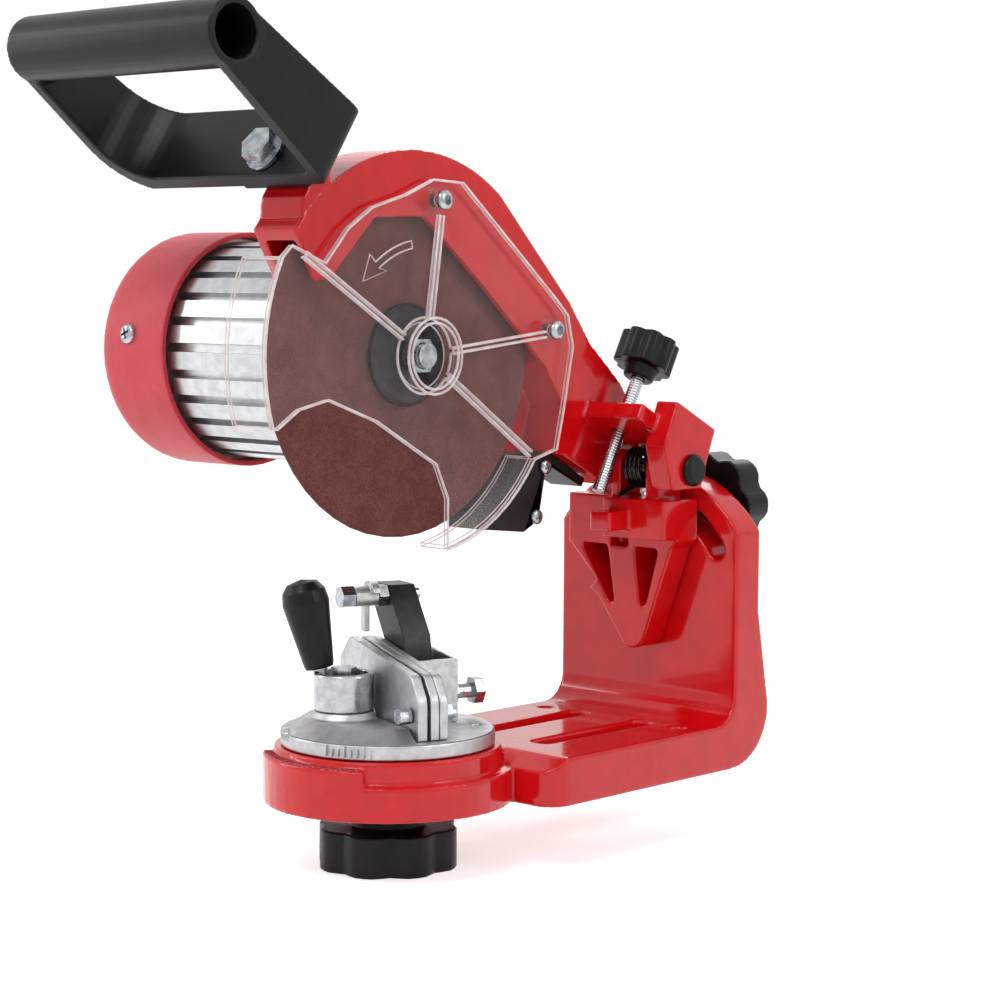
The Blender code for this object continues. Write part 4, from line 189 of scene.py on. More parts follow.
for name, place, width, height, watts in SOFT_BOXES:
    lamp = bpy.data.lights.new(name, "AREA")
    lamp.shape, lamp.size, lamp.size_y, lamp.energy = "RECTANGLE", width, height, watts
    box = stand(name, lamp)
    box.location = place
    box.rotation_euler = (LOOK_AT - Vector(place)).to_track_quat("-Z", "Y").to_euler()


# ---------------------------------------------------------------- bench casting
# The base is one die casting in aluminium: a bench plate, an upright with the tilt slot, and the round
# vise seat at the front. It is dipped in gloss red enamel, which pools to a soft radius on each edge.
PLACE = "Object"                            # coordinates in metres: each object sits at the origin
NOISE_RANGE = {"From Min": 0.3, "From Max": 0.7}    # holds nearly all of a noise's values
NOISE_ROUGHNESS = 0.55
BEVEL_SAMPLES = 4
WELD = 2e-6
NEARLY_FLAT = math.radians(1.5)
CORNER = math.radians(32.0)                 # an edge that turns more is rounded
RUN_EACH_PASS = 0.5
FACES_KEPT = 0.5


def gritty(tree, grain_mm, shift, detail):
    """Fine noise whose grains are grain_mm across. The shift sets it apart from the other noises."""
    where = add(tree, "ShaderNodeTexCoord")
    moved = add(tree, "ShaderNodeMapping", {"Vector": (where, PLACE), "Location": (shift,) * 3})
    return add(tree, "ShaderNodeTexNoise", {"Vector": (moved, "Vector"), "Scale": 1000.0 / grain_mm,
                                            "Detail": detail, "Roughness": NOISE_ROUGHNESS})


def rounded_bump(tree, height, strength, depth_mm, radius_mm):
    """A bump over edges that are softened by radius_mm, as paint or moulding leaves them."""
    soft = add(tree, "ShaderNodeBevel", {"Radius": radius_mm / 1000.0}, samples=BEVEL_SAMPLES)
    return add(tree, "ShaderNodeBump", {"Height": height, "Strength": strength,
                                        "Distance": depth_mm / 1000.0, "Normal": (soft, "Normal")})


def finish_node(node, material):
    """Give a CAD node a better material through its own slot."""
    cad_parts[node].material_slots[0].material = material


def welded(node):
    """A node's own shape, with the points joined that its faces share."""
    shape = bmesh.new()
    shape.from_mesh(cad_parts[node].data)
    bmesh.ops.remove_doubles(shape, verts=shape.verts, dist=WELD)
    return shape


def as_mesh(shape, name):
    """Turn a finished shape into a mesh."""
    mesh = bpy.data.meshes.new(name)
    shape.to_mesh(mesh)
    shape.free()
    return mesh


def new_piece(name, mesh, body, material, smooth_angle=40.0):
    """Make a mesh a piece that rides on a body, smooth except at its real edges.

    With no body named, the piece is left on no body.
    """
    piece = stand(name, mesh)
    mesh.materials.append(material)
    mesh.shade_smooth()
    mesh.set_sharp_from_angle(angle=math.radians(smooth_angle))
    if body:
        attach(piece, body)
    return piece


def apply_all(piece):
    """Bake the modifiers of a piece into its mesh."""
    seen_as = piece.evaluated_get(bpy.context.evaluated_depsgraph_get())
    baked = bpy.data.meshes.new_from_object(seen_as)
    piece.modifiers.clear()
    piece.data = baked


def soften(node, name, body, material, radius_mm, segments=2):
    """A copy of a node with every edge rounded by radius_mm. It stands for the node."""
    shape = welded(node)
    bmesh.ops.dissolve_limit(shape, angle_limit=NEARLY_FLAT, verts=shape.verts, edges=shape.edges)
    piece = new_piece(name, as_mesh(shape, name), body, material)
    edge = piece.modifiers.new("edge", "BEVEL")
    edge.width, edge.segments = radius_mm / 1000.0, segments
    edge.limit_method, edge.angle_limit = "ANGLE", CORNER
    edge.use_clamp_overlap, edge.harden_normals = False, False
    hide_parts(node)


def melt(node, name, body, material, voxel_mm, passes):
    """A copy of a node with its corners run soft by voxels and smoothing. It stands for the node."""
    piece = stand(name, as_mesh(welded(node), name))
    voxels = piece.modifiers.new("voxels", "REMESH")
    voxels.mode, voxels.voxel_size = "VOXEL", voxel_mm / 1000.0
    run = piece.modifiers.new("run", "SMOOTH")
    run.factor, run.iterations = RUN_EACH_PASS, passes
    thin = piece.modifiers.new("thin", "DECIMATE")
    thin.ratio = FACES_KEPT
    apply_all(piece)
    piece.data.materials.append(material)
    piece.data.shade_smooth()
    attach(piece, body)
    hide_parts(node)


# Gloss enamel over a die casting: a wet clear coat with orange peel about 1.6 mm across, over the
# casting's slower waves, along which the red drifts by a shade.
red_enamel, tree = start_material("gloss_enamel_over_die_casting")
peel, waves = gritty(tree, 1.6, 0.3, 2.0), gritty(tree, 9.0, 1.7, 2.0)
colour = add(tree, "ShaderNodeValToRGB", {"Fac": (waves, "Fac")},
             ramp={0.35: "#D00810", 0.65: "#DA0C14"})
rough = add(tree, "ShaderNodeMapRange",
            {"Value": (peel, "Fac"), **NOISE_RANGE, "To Min": 0.14, "To Max": 0.20})
height = add(tree, "ShaderNodeMath", {0: (peel, "Fac"), 1: 0.35, 2: (waves, "Fac")},
             operation="MULTIPLY_ADD")
bump = rounded_bump(tree, (height, "Value"), 0.06, 0.05, 0.9)
skin = add(tree, "ShaderNodeBsdfPrincipled",
           {"Base Color": (colour, "Color"), "Roughness": (rough, "Result"), "Normal": (bump, "Normal"),
            "Coat Weight": 0.35, "Coat Roughness": 0.03, "Specular IOR Level": 0.3, "IOR": 1.45})
add(tree, "ShaderNodeOutputMaterial", {"Surface": (skin, "BSDF")})
melt("base_frame", "bench_casting", "base", red_enamel, 0.75, 5)


# ---------------------------------------------------------------- angle scale on the seat
# A ledge on the seat's rim carries the vise's angle scale: a strip of cast teeth, painted with the
# base. Pale pink flecks on the teeth are painted glints.
LEDGE_TOP = 0.0198
LEDGE_INNER, LEDGE_OUTER = 0.0432, 0.0494
LEDGE_FROM, LEDGE_TO = 231.0, 301.0         # degrees round the seat
TEETH = 70
TOOTH_TIP, TOOTH_ROOT = 0.0007, 0.0001      # above the ledge
TOOTH_SUNK = 0.0004                         # into the ledge

# Thin enamel over cast teeth: crumbs about 1.1 mm across, with pale pink flecks that are painted glints.
cast_teeth, tree = start_material("enamel_on_cast_teeth_painted_glints")
crumbs, painted_glint_flecks = gritty(tree, 1.1, 4.0, 5.0), gritty(tree, 0.8, 6.0, 1.0)
# The flecks' pale pink is a painted glint, scattered at random over the teeth.
colour = add(tree, "ShaderNodeValToRGB", {"Fac": (painted_glint_flecks, "Fac")},
             ramp={0.48: "#A80E18", 0.68: "#F0707C"})
bump = rounded_bump(tree, (crumbs, "Fac"), 0.9, 0.8, 0.3)
skin = add(tree, "ShaderNodeBsdfPrincipled",
           {"Base Color": (colour, "Color"), "Roughness": 0.38, "Normal": (bump, "Normal"), "IOR": 1.5})
add(tree, "ShaderNodeOutputMaterial", {"Surface": (skin, "BSDF")})

shape = bmesh.new()
rows = []
for step in range(2 * TEETH + 1):
    angle = math.radians(LEDGE_FROM + (LEDGE_TO - LEDGE_FROM) * step / (2 * TEETH))
    top = LEDGE_TOP + (TOOTH_TIP if step % 2 else TOOTH_ROOT)
    rows.append([shape.verts.new((r * math.cos(angle), r * math.sin(angle), z))
                 for r, z in ((LEDGE_INNER, LEDGE_TOP - TOOTH_SUNK), (LEDGE_INNER, top),
                              (LEDGE_OUTER, top), (LEDGE_OUTER, LEDGE_TOP - TOOTH_SUNK))])
for before, after in zip(rows, rows[1:]):
    for i in range(4):
        shape.faces.new((before[i], before[(i + 1) % 4], after[(i + 1) % 4], after[i]))
shape.faces.new(rows[0][::-1])
shape.faces.new(rows[-1])
bmesh.ops.recalc_face_normals(shape, faces=shape.faces)
new_piece("scale_teeth", as_mesh(shape, "scale_teeth"), "base", cast_teeth,
          smooth_angle=25.0)


# ---------------------------------------------------------------- vise table and jaws
# The turntable and its three jaws are gravity castings in aluminium, tumbled and left bare. Short
# raised strokes are cast on the platform's rim, towards its front right: plain, with no figures.
STROKES, FIRST_STROKE, STROKE_PITCH = 8, 282.0, 3.5    # the last two in degrees round the table
STROKE_RADIUS = 0.0422
STROKE_LOW, STROKE_HIGH = 0.0240, 0.0284
STROKE_SHORTER = 0.0014                     # for two strokes in three
STROKE_WIDE, STROKE_PROUD = 0.0005, 0.0009
STROKE_EDGE = 0.00012

# Tumbled cast aluminium: a satin grey skin with sand grain about 0.9 mm across, duller in drifts.
cast_aluminium, tree = start_material("tumbled_cast_aluminium")
sand, drift = gritty(tree, 0.9, 2.0, 6.0), gritty(tree, 6.0, 9.0, 3.0)
colour = add(tree, "ShaderNodeValToRGB", {"Fac": (drift, "Fac")},
             ramp={0.35: "#A9ABAD", 0.65: "#C0C1C2"})
rough = add(tree, "ShaderNodeMapRange",
            {"Value": (sand, "Fac"), **NOISE_RANGE, "To Min": 0.34, "To Max": 0.50})
bump = rounded_bump(tree, (sand, "Fac"), 0.45, 0.25, 0.5)
skin = add(tree, "ShaderNodeBsdfPrincipled",
           {"Base Color": (colour, "Color"), "Metallic": 0.92, "Roughness": (rough, "Result"),
            "Normal": (bump, "Normal")})
add(tree, "ShaderNodeOutputMaterial", {"Surface": (skin, "BSDF")})
for node, body, radius_mm in (("turntable", "vise", 0.6), ("moving_jaw", "sliding_jaw", 0.35),
                              ("fixed_jaw", "vise", 0.35), ("backing_jaw", "vise", 0.45)):
    soften(node, node + "_casting", body, cast_aluminium, radius_mm)

shape = bmesh.new()
for index in range(STROKES):
    top = STROKE_HIGH - (STROKE_SHORTER if index % 3 else 0.0)
    angle = math.radians(FIRST_STROKE + STROKE_PITCH * index)
    out = Vector((math.cos(angle), math.sin(angle), 0.0))
    side = Vector((-out.y, out.x, 0.0))
    middle = out * (STROKE_RADIUS + STROKE_PROUD) + Vector((0, 0, (STROKE_LOW + top) / 2))
    axes = Matrix((side, out, (0, 0, 1))).transposed().to_4x4()
    size = Matrix.Diagonal((STROKE_WIDE, 2 * STROKE_PROUD, top - STROKE_LOW, 1.0))
    bmesh.ops.create_cube(shape, size=1.0, matrix=Matrix.Translation(middle) @ axes @ size)
bmesh.ops.bevel(shape, geom=shape.edges[:], offset=STROKE_EDGE, segments=1, affect="EDGES")
new_piece("platform_ticks", as_mesh(shape, "platform_ticks"), "vise", cast_aluminium)


# ---------------------------------------------------------------- bolts, nuts, pins
# Every fastener is cold formed steel with bright zinc plating: hard, bluish and shiny, with a faint
# grain half a millimetre across. The nodes already have their hexagons and washers.
zinc_steel, tree = start_material("bright_zinc_plated_steel")
fine, cloud = gritty(tree, 0.5, 5.0, 2.0), gritty(tree, 4.0, 3.0, 2.0)
colour = add(tree, "ShaderNodeValToRGB", {"Fac": (cloud, "Fac")},
             ramp={0.35: "#8B9096", 0.65: "#B9BCC0"})
rough = add(tree, "ShaderNodeMapRange",
            {"Value": (fine, "Fac"), **NOISE_RANGE, "To Min": 0.20, "To Max": 0.32})
bump = rounded_bump(tree, (fine, "Fac"), 0.15, 0.05, 0.25)
skin = add(tree, "ShaderNodeBsdfPrincipled",
           {"Base Color": (colour, "Color"), "Metallic": 1.0, "Roughness": (rough, "Result"),
            "Normal": (bump, "Normal")})
add(tree, "ShaderNodeOutputMaterial", {"Surface": (skin, "BSDF")})
for node in ("vise_stud", "jaw_bolt_left", "jaw_bolt_right", "jaw_nut_left", "jaw_nut_right",
             "set_screw_nut", "cam_pin", "stop_bolt", "stop_nut", "stop_set_screw", "vise_lock_washer",
             "tilt_pin", "tilt_stud", "tilt_washer", "hinge_pin"):
    finish_node(node, zinc_steel)


# ---------------------------------------------------------------- chain stop
# A folded bracket of galvanised sheet carries the stop: a black zinc block that slides on it, with a
# pawl pressed from sheet that drops behind each cutter.

# Galvanised sheet: pale grey, with zinc spangle about 3 mm across and a fine satin grain.
galvanised, tree = start_material("galvanised_pressed_sheet")
spangle, fine = gritty(tree, 3.0, 8.0, 1.0), gritty(tree, 0.6, 1.0, 3.0)
colour = add(tree, "ShaderNodeValToRGB", {"Fac": (spangle, "Fac")},
             ramp={0.35: "#ADB0B0", 0.65: "#C2C4C3"})
rough = add(tree, "ShaderNodeMapRange",
            {"Value": (fine, "Fac"), **NOISE_RANGE, "To Min": 0.34, "To Max": 0.50})
bump = rounded_bump(tree, (fine, "Fac"), 0.2, 0.06, 0.35)
skin = add(tree, "ShaderNodeBsdfPrincipled",
           {"Base Color": (colour, "Color"), "Metallic": 0.85, "Roughness": (rough, "Result"),
            "Normal": (bump, "Normal")})
add(tree, "ShaderNodeOutputMaterial", {"Surface": (skin, "BSDF")})
soften("stop_bracket", "stop_bracket_sheet", "vise", galvanised, 0.25)
soften("stop_pawl", "stop_pawl_pressing", "pawl", galvanised, 0.18)

# Black phosphated zinc: dense and dry, a shade greyer in patches, with grain about 0.7 mm across.
black_zinc, tree = start_material("black_phosphated_zinc")
grain, worn = gritty(tree, 0.7, 3.3, 5.0), gritty(tree, 3.5, 7.0, 3.0)
colour = add(tree, "ShaderNodeValToRGB", {"Fac": (worn, "Fac")},
             ramp={0.35: "#0E0E10", 0.65: "#1B1B1E"})
rough = add(tree, "ShaderNodeMapRange",
            {"Value": (grain, "Fac"), **NOISE_RANGE, "To Min": 0.30, "To Max": 0.48})
bump = rounded_bump(tree, (grain, "Fac"), 0.35, 0.12, 0.35)
skin = add(tree, "ShaderNodeBsdfPrincipled",
           {"Base Color": (colour, "Color"), "Metallic": 0.35, "Roughness": (rough, "Result"),
            "Normal": (bump, "Normal")})
add(tree, "ShaderNodeOutputMaterial", {"Surface": (skin, "BSDF")})
soften("stop_block", "stop_block_casting", "chain_stop", black_zinc, 0.4)


# ---------------------------------------------------------------- clamp cam and lever
# A turned steel cup with a cam on its flank closes the jaws. It is machined bright, then plated, and
# its lever is a smooth black nylon grip that widens to a round head.
FEED_SCALE = 1000.0 / 0.9                   # a wave repeats 0.314 / scale apart: every 0.28 mm

# Turned and plated steel: bright, with feed marks too fine to count that only brush the highlight.
turned_steel, tree = start_material("turned_and_plated_steel")
where = add(tree, "ShaderNodeTexCoord")
rings = add(tree, "ShaderNodeTexWave",
            {"Vector": (where, PLACE), "Scale": FEED_SCALE, "Distortion": 0.6, "Detail": 1.0},
            wave_type="BANDS", bands_direction="Z")
cloud = gritty(tree, 3.0, 2.2, 3.0)
colour = add(tree, "ShaderNodeValToRGB", {"Fac": (cloud, "Fac")},
             ramp={0.35: "#A0A2A5", 0.65: "#BCBEC0"})
rough = add(tree, "ShaderNodeMapRange",
            {"Value": (cloud, "Fac"), **NOISE_RANGE, "To Min": 0.18, "To Max": 0.34})
bump = rounded_bump(tree, (rings, "Fac"), 0.12, 0.03, 0.5)
skin = add(tree, "ShaderNodeBsdfPrincipled",
           {"Base Color": (colour, "Color"), "Metallic": 1.0, "Roughness": (rough, "Result"),
            "Normal": (bump, "Normal")})
add(tree, "ShaderNodeOutputMaterial", {"Surface": (skin, "BSDF")})
soften("cam_drum", "cam_cup", "clamp_lever", turned_steel, 0.35)

# Moulded black nylon: a satin skin with a fine spark-eroded grain about 0.45 mm across.
black_nylon, tree = start_material("moulded_black_nylon")
grain, sheen = gritty(tree, 0.45, 1.3, 3.0), gritty(tree, 7.0, 4.4, 2.0)
colour = add(tree, "ShaderNodeValToRGB", {"Fac": (sheen, "Fac")},
             ramp={0.35: "#0D0D0F", 0.65: "#151517"})
rough = add(tree, "ShaderNodeMapRange",
            {"Value": (grain, "Fac"), **NOISE_RANGE, "To Min": 0.30, "To Max": 0.42})
bump = rounded_bump(tree, (grain, "Fac"), 0.20, 0.06, 0.6)
skin = add(tree, "ShaderNodeBsdfPrincipled",
           {"Base Color": (colour, "Color"), "Roughness": (rough, "Result"), "Normal": (bump, "Normal"),
            "IOR": 1.5, "Specular IOR Level": 0.2})
add(tree, "ShaderNodeOutputMaterial", {"Surface": (skin, "BSDF")})
finish_node("clamp_grip", black_nylon)
soften("vise_lock_knob", "vise_lock_knob_moulding", "vise_lock", black_nylon, 0.8, 3)


# ---------------------------------------------------------------- tilting bracket
# A pierced V casting turns on the upright, on a stud through the curved slot, and is locked by a lobed
# nylon knob behind. It has the base's enamel, with ribs round its two windows.
melt("tilt_bracket", "tilt_bracket_casting", "tilt_head", red_enamel, 0.55, 4)
soften("tilt_lock_knob", "tilt_lock_knob_moulding", "tilt_lock", black_nylon, 0.8, 3)


# ---------------------------------------------------------------- return spring
# A torsion spring of 1.8 mm music wire lifts the arm. It is wound cold and oil blackened, so each turn
# is a dark mirror with one thin bright arc. Its low leg rests on the bracket and its high leg on the
# bar; the piece is left on no body.
WIRE_RADIUS = 0.0009
COIL_RADIUS = 0.0080
COIL_START_X = 0.0154
COIL_PITCH = 0.0024
COIL_SWEEP = 4 * 360.0 + 152.3              # degrees: four turns and a part
COIL_FROM = -72.0
HINGE_Y, HINGE_Z = 0.134, 0.127
LOW_LEG, LOW_LEG_ANGLE = 0.0136, -162.0
HIGH_LEG, HIGH_LEG_ANGLE = 0.0085, 170.3
POINTS_PER_TURN = 40

# Oil blackened music wire: near black, hard and shiny, with the faint grain of the drawing die.
spring_wire, tree = start_material("oil_blackened_music_wire")
drawn, oil = gritty(tree, 0.4, 6.6, 2.0), gritty(tree, 2.5, 0.7, 2.0)
colour = add(tree, "ShaderNodeValToRGB", {"Fac": (oil, "Fac")},
             ramp={0.35: "#1A1A1C", 0.65: "#37373B"})
rough = add(tree, "ShaderNodeMapRange",
            {"Value": (drawn, "Fac"), **NOISE_RANGE, "To Min": 0.16, "To Max": 0.28})
bump = add(tree, "ShaderNodeBump", {"Height": (drawn, "Fac"), "Strength": 0.1, "Distance": 0.00003})
skin = add(tree, "ShaderNodeBsdfPrincipled",
           {"Base Color": (colour, "Color"), "Metallic": 0.85, "Roughness": (rough, "Result"),
            "Normal": (bump, "Normal")})
add(tree, "ShaderNodeOutputMaterial", {"Surface": (skin, "BSDF")})


def hinge_point(x, radius, degrees):
    """A point at a radius and angle round the hinge axis."""
    angle = math.radians(degrees)
    return Vector((x, HINGE_Y + radius * math.cos(angle), HINGE_Z + radius * math.sin(angle)))


def wire_piece(name, lines, radius, body, material, closed=False, resolution=3):
    """Round wire or a bead along one or more lines of points."""
    curve = bpy.data.curves.new(name, "CURVE")
    curve.dimensions, curve.bevel_depth, curve.bevel_resolution = "3D", radius, resolution
    curve.use_fill_caps = not closed
    for points in lines:
        spline = curve.splines.new("POLY")
        spline.points.add(len(points) - 1)
        for target, point in zip(spline.points, points):
            target.co = (*point, 1.0)
        spline.use_cyclic_u = closed
    path = stand(name + "_curve", curve)
    mesh = bpy.data.meshes.new_from_object(
        path.evaluated_get(bpy.context.evaluated_depsgraph_get()))
    bpy.data.objects.remove(path)
    return new_piece(name, mesh, body, material, smooth_angle=60.0)


steps = int(POINTS_PER_TURN * COIL_SWEEP / 360.0)
coil = [hinge_point(COIL_START_X + COIL_PITCH * COIL_SWEEP * i / steps / 360.0, COIL_RADIUS,
                    COIL_FROM + COIL_SWEEP * i / steps) for i in range(steps + 1)]
hinge = hinge_point(0.0, 0.0, 0.0)
low_foot = coil[0] + hinge_point(0.0, LOW_LEG, LOW_LEG_ANGLE) - hinge
high_foot = coil[-1] + hinge_point(0.0, HIGH_LEG, HIGH_LEG_ANGLE) - hinge
spring = wire_piece("return_spring_wire", [[low_foot, *coil, high_foot]], WIRE_RADIUS,
                    None, spring_wire, resolution=4)
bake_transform(spring)
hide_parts("return_spring")


# ---------------------------------------------------------------- depth stop
# A bright threaded rod with a black knob stops the arm at the depth of cut, and a knurled black disc
# locks it. The disc's edge is rolled with straight knurling about 1.1 mm apart.
ROD_TILT = math.radians(28.2)
ROD_AXIS = Vector((0.0, math.sin(ROD_TILT), math.cos(ROD_TILT)))
PITCH_MM = 1.25
WAVE_LENGTH = 2 * math.pi / 20.0            # of a wave texture whose scale is 1
DISC_RADIUS, DISC_BORE = 0.0086, 0.00305
DISC_HALF = 0.0015                          # half its thickness
DISC_CHAMFER = 0.0005
KNURLS = 48
KNURL_DEPTH = 0.00035


def lathe(shape, rings, around, place, grow=None):
    """Turn (radius, height) rings about the Z axis of the matrix place.

    A function grow(radius, step) adds to a ring's radius at each step round.
    """
    loops = []
    for radius, height in rings:
        loop = []
        for i in range(around):
            angle = 2 * math.pi * i / around
            grown = radius + (grow(radius, i) if grow else 0.0)
            point = Vector((grown * math.cos(angle), grown * math.sin(angle), height))
            loop.append(shape.verts.new(place @ point))
        loops.append(loop)
    for lower, upper in zip(loops, loops[1:]):
        for i in range(around):
            j = (i + 1) % around
            shape.faces.new((lower[i], lower[j], upper[j], upper[i]))
    return loops


low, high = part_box("depth_lock_disc")
disc_place = (Matrix.Translation((low + high) / 2)
              @ ROD_AXIS.to_track_quat("Z", "Y").to_matrix().to_4x4())
profile = [(DISC_BORE, -DISC_HALF), (DISC_RADIUS - DISC_CHAMFER, -DISC_HALF),
           (DISC_RADIUS, -DISC_HALF + DISC_CHAMFER), (DISC_RADIUS, DISC_HALF - DISC_CHAMFER),
           (DISC_RADIUS - DISC_CHAMFER, DISC_HALF), (DISC_BORE, DISC_HALF)]
shape = bmesh.new()
loops = lathe(shape, profile, 2 * KNURLS, disc_place,
              lambda radius, i: -KNURL_DEPTH if radius > DISC_BORE and i % 2 else 0.0)
for i in range(2 * KNURLS):
    j = (i + 1) % (2 * KNURLS)
    shape.faces.new((loops[-1][i], loops[-1][j], loops[0][j], loops[0][i]))
bmesh.ops.recalc_face_normals(shape, faces=shape.faces)
disc = new_piece("knurled_lock_disc", as_mesh(shape, "knurled_lock_disc"), "depth_lock",
                 black_zinc, smooth_angle=30.0)
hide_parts("depth_lock_disc")

# Rolled thread on zinc plated steel, drawn as bands square to the rod at the thread's pitch, because
# a helix would look the same. Its colour follows the bands: painted highlights on the ridges and
# painted shade in the grooves.
threaded_steel, tree = start_material("rolled_thread_zinc_steel")
where = add(tree, "ShaderNodeTexCoord")
along = add(tree, "ShaderNodeMapping", {"Vector": (where, PLACE), "Rotation": (ROD_TILT, 0.0, 0.0)})
ridges = add(tree, "ShaderNodeTexWave",
             {"Vector": (along, "Vector"), "Scale": WAVE_LENGTH * 1000.0 / PITCH_MM},
             wave_type="BANDS", bands_direction="Z")
# Painted shade in the grooves, painted highlight on the ridges.
colour = add(tree, "ShaderNodeValToRGB", {"Fac": (ridges, "Fac")},
             ramp={0.1: "#8E9297", 0.8: "#C2C5C8"})
bump = add(tree, "ShaderNodeBump", {"Height": (ridges, "Fac"), "Strength": 0.35, "Distance": 0.0002})
skin = add(tree, "ShaderNodeBsdfPrincipled",
           {"Base Color": (colour, "Color"), "Metallic": 1.0, "Roughness": 0.24,
            "Normal": (bump, "Normal")})
add(tree, "ShaderNodeOutputMaterial", {"Surface": (skin, "BSDF")})
finish_node("depth_screw", threaded_steel)
soften("depth_knob", "depth_knob_moulding", "depth_hand_knob", black_nylon, 0.5, 3)


# ---------------------------------------------------------------- arm casting
# One casting makes the hinge bar, the neck and the hood over the wheel. Its enamel is the base's. A
# black nylon cap closes the hinge pin's end.
melt("arm_casting", "arm_casting_enamelled", "arm", red_enamel, 0.6, 4)
soften("hinge_cap", "hinge_cap_moulding", "arm", black_nylon, 0.4)


# ---------------------------------------------------------------- handle
# A hollow grip with finger hollows, its two side plates and a strap between them are one moulding in
# glass-filled nylon. A zinc plated bolt holds it to the hood.

# Charcoal nylon: a satin near-black with grain about 0.5 mm across, drifting by a shade.
charcoal_nylon, tree = start_material("moulded_charcoal_nylon")
grain, sheen = gritty(tree, 0.5, 2.9, 4.0), gritty(tree, 16.0, 0.4, 2.0)
colour = add(tree, "ShaderNodeValToRGB", {"Fac": (sheen, "Fac")},
             ramp={0.35: "#0E0D10", 0.65: "#151417"})
rough = add(tree, "ShaderNodeMapRange",
            {"Value": (grain, "Fac"), **NOISE_RANGE, "To Min": 0.30, "To Max": 0.44})
bump = rounded_bump(tree, (grain, "Fac"), 0.18, 0.06, 0.8)
skin = add(tree, "ShaderNodeBsdfPrincipled",
           {"Base Color": (colour, "Color"), "Roughness": (rough, "Result"), "Normal": (bump, "Normal"),
            "IOR": 1.52, "Specular IOR Level": 0.2})
add(tree, "ShaderNodeOutputMaterial", {"Surface": (skin, "BSDF")})
melt("handle", "handle_moulding", "arm", charcoal_nylon, 0.55, 4)
finish_node("handle_bolt", zinc_steel)


# ---------------------------------------------------------------- motor
# The motor's aluminium shell is extruded with fins and milled bright. A pink-red moulded cap closes
# its far end.

# Milled aluminium: pale and bright, with a tool grain about 0.35 mm across.
milled_fins, tree = start_material("milled_aluminium_fins")
lines, cloud = gritty(tree, 0.35, 7.7, 2.0), gritty(tree, 5.0, 5.1, 2.0)
colour = add(tree, "ShaderNodeValToRGB", {"Fac": (cloud, "Fac")},
             ramp={0.35: "#B4B6B8", 0.65: "#C6C8C9"})
rough = add(tree, "ShaderNodeMapRange",
            {"Value": (lines, "Fac"), **NOISE_RANGE, "To Min": 0.26, "To Max": 0.36})
bump = rounded_bump(tree, (lines, "Fac"), 0.2, 0.05, 0.3)
skin = add(tree, "ShaderNodeBsdfPrincipled",
           {"Base Color": (colour, "Color"), "Metallic": 0.95, "Roughness": (rough, "Result"),
            "Normal": (bump, "Normal")})
add(tree, "ShaderNodeOutputMaterial", {"Surface": (skin, "BSDF")})
finish_node("motor_housing", milled_fins)

# Pink-red ABS, spark-eroded mould: matte with a grain about 0.6 mm across that scatters a pale bloom.
red_abs, tree = start_material("moulded_pink_red_abs")
grain, bloom = gritty(tree, 0.6, 8.8, 5.0), gritty(tree, 11.0, 6.1, 3.0)
colour = add(tree, "ShaderNodeValToRGB", {"Fac": (bloom, "Fac")},
             ramp={0.35: "#CC3340", 0.65: "#D43E4A"})
rough = add(tree, "ShaderNodeMapRange",
            {"Value": (grain, "Fac"), **NOISE_RANGE, "To Min": 0.46, "To Max": 0.62})
bump = rounded_bump(tree, (grain, "Fac"), 0.30, 0.10, 0.8)
skin = add(tree, "ShaderNodeBsdfPrincipled",
           {"Base Color": (colour, "Color"), "Roughness": (rough, "Result"), "Normal": (bump, "Normal"),
            "IOR": 1.53, "Specular IOR Level": 0.35, "Sheen Weight": 0.15, "Sheen Roughness": 0.5})
add(tree, "ShaderNodeOutputMaterial", {"Surface": (skin, "BSDF")})
soften("motor_cap", "motor_cap_moulding", "arm", red_abs, 0.6, 3)


# ---------------------------------------------------------------- motor cap's screws
# Three pan heads with a cross recess hold the motor cap. They are zinc plated, with the recess punched
# in while the head is formed, and the screws of the guard and of the switch box are made the same way.
HEAD_DOME = [(1.0, 0.0), (1.0, 0.34), (0.94, 0.62), (0.80, 0.82), (0.55, 0.95), (0.25, 1.0)]
HEAD_AROUND, STEM_AROUND = 40, 24
HEAD_SMOOTH = 35.0                          # degrees: a sharper edge stays an edge
HEAD_RISE = 0.62                            # this and the next four are shares of the head's radius
STEM_RADIUS = 0.5
CROSS_LENGTH, CROSS_WIDTH = 1.15, 0.24
SOCKET_RADIUS = 0.52
CROSS_DEPTH, SOCKET_DEPTH = 1.1, 1.3        # shares of the head's rise, half of them in the head
STEM_OVERLAP = 0.1                          # a share of it too
CROSS_TURN = 0.4                            # radians, as a driver happened to leave it
CAP_SCREW_ANGLES = {1: 172.0, 2: 292.0, 3: 52.0}    # degrees round the motor, seen from the right
SPINDLE = Vector((0.0, 0.007, 0.177))       # a point of the motor's axis


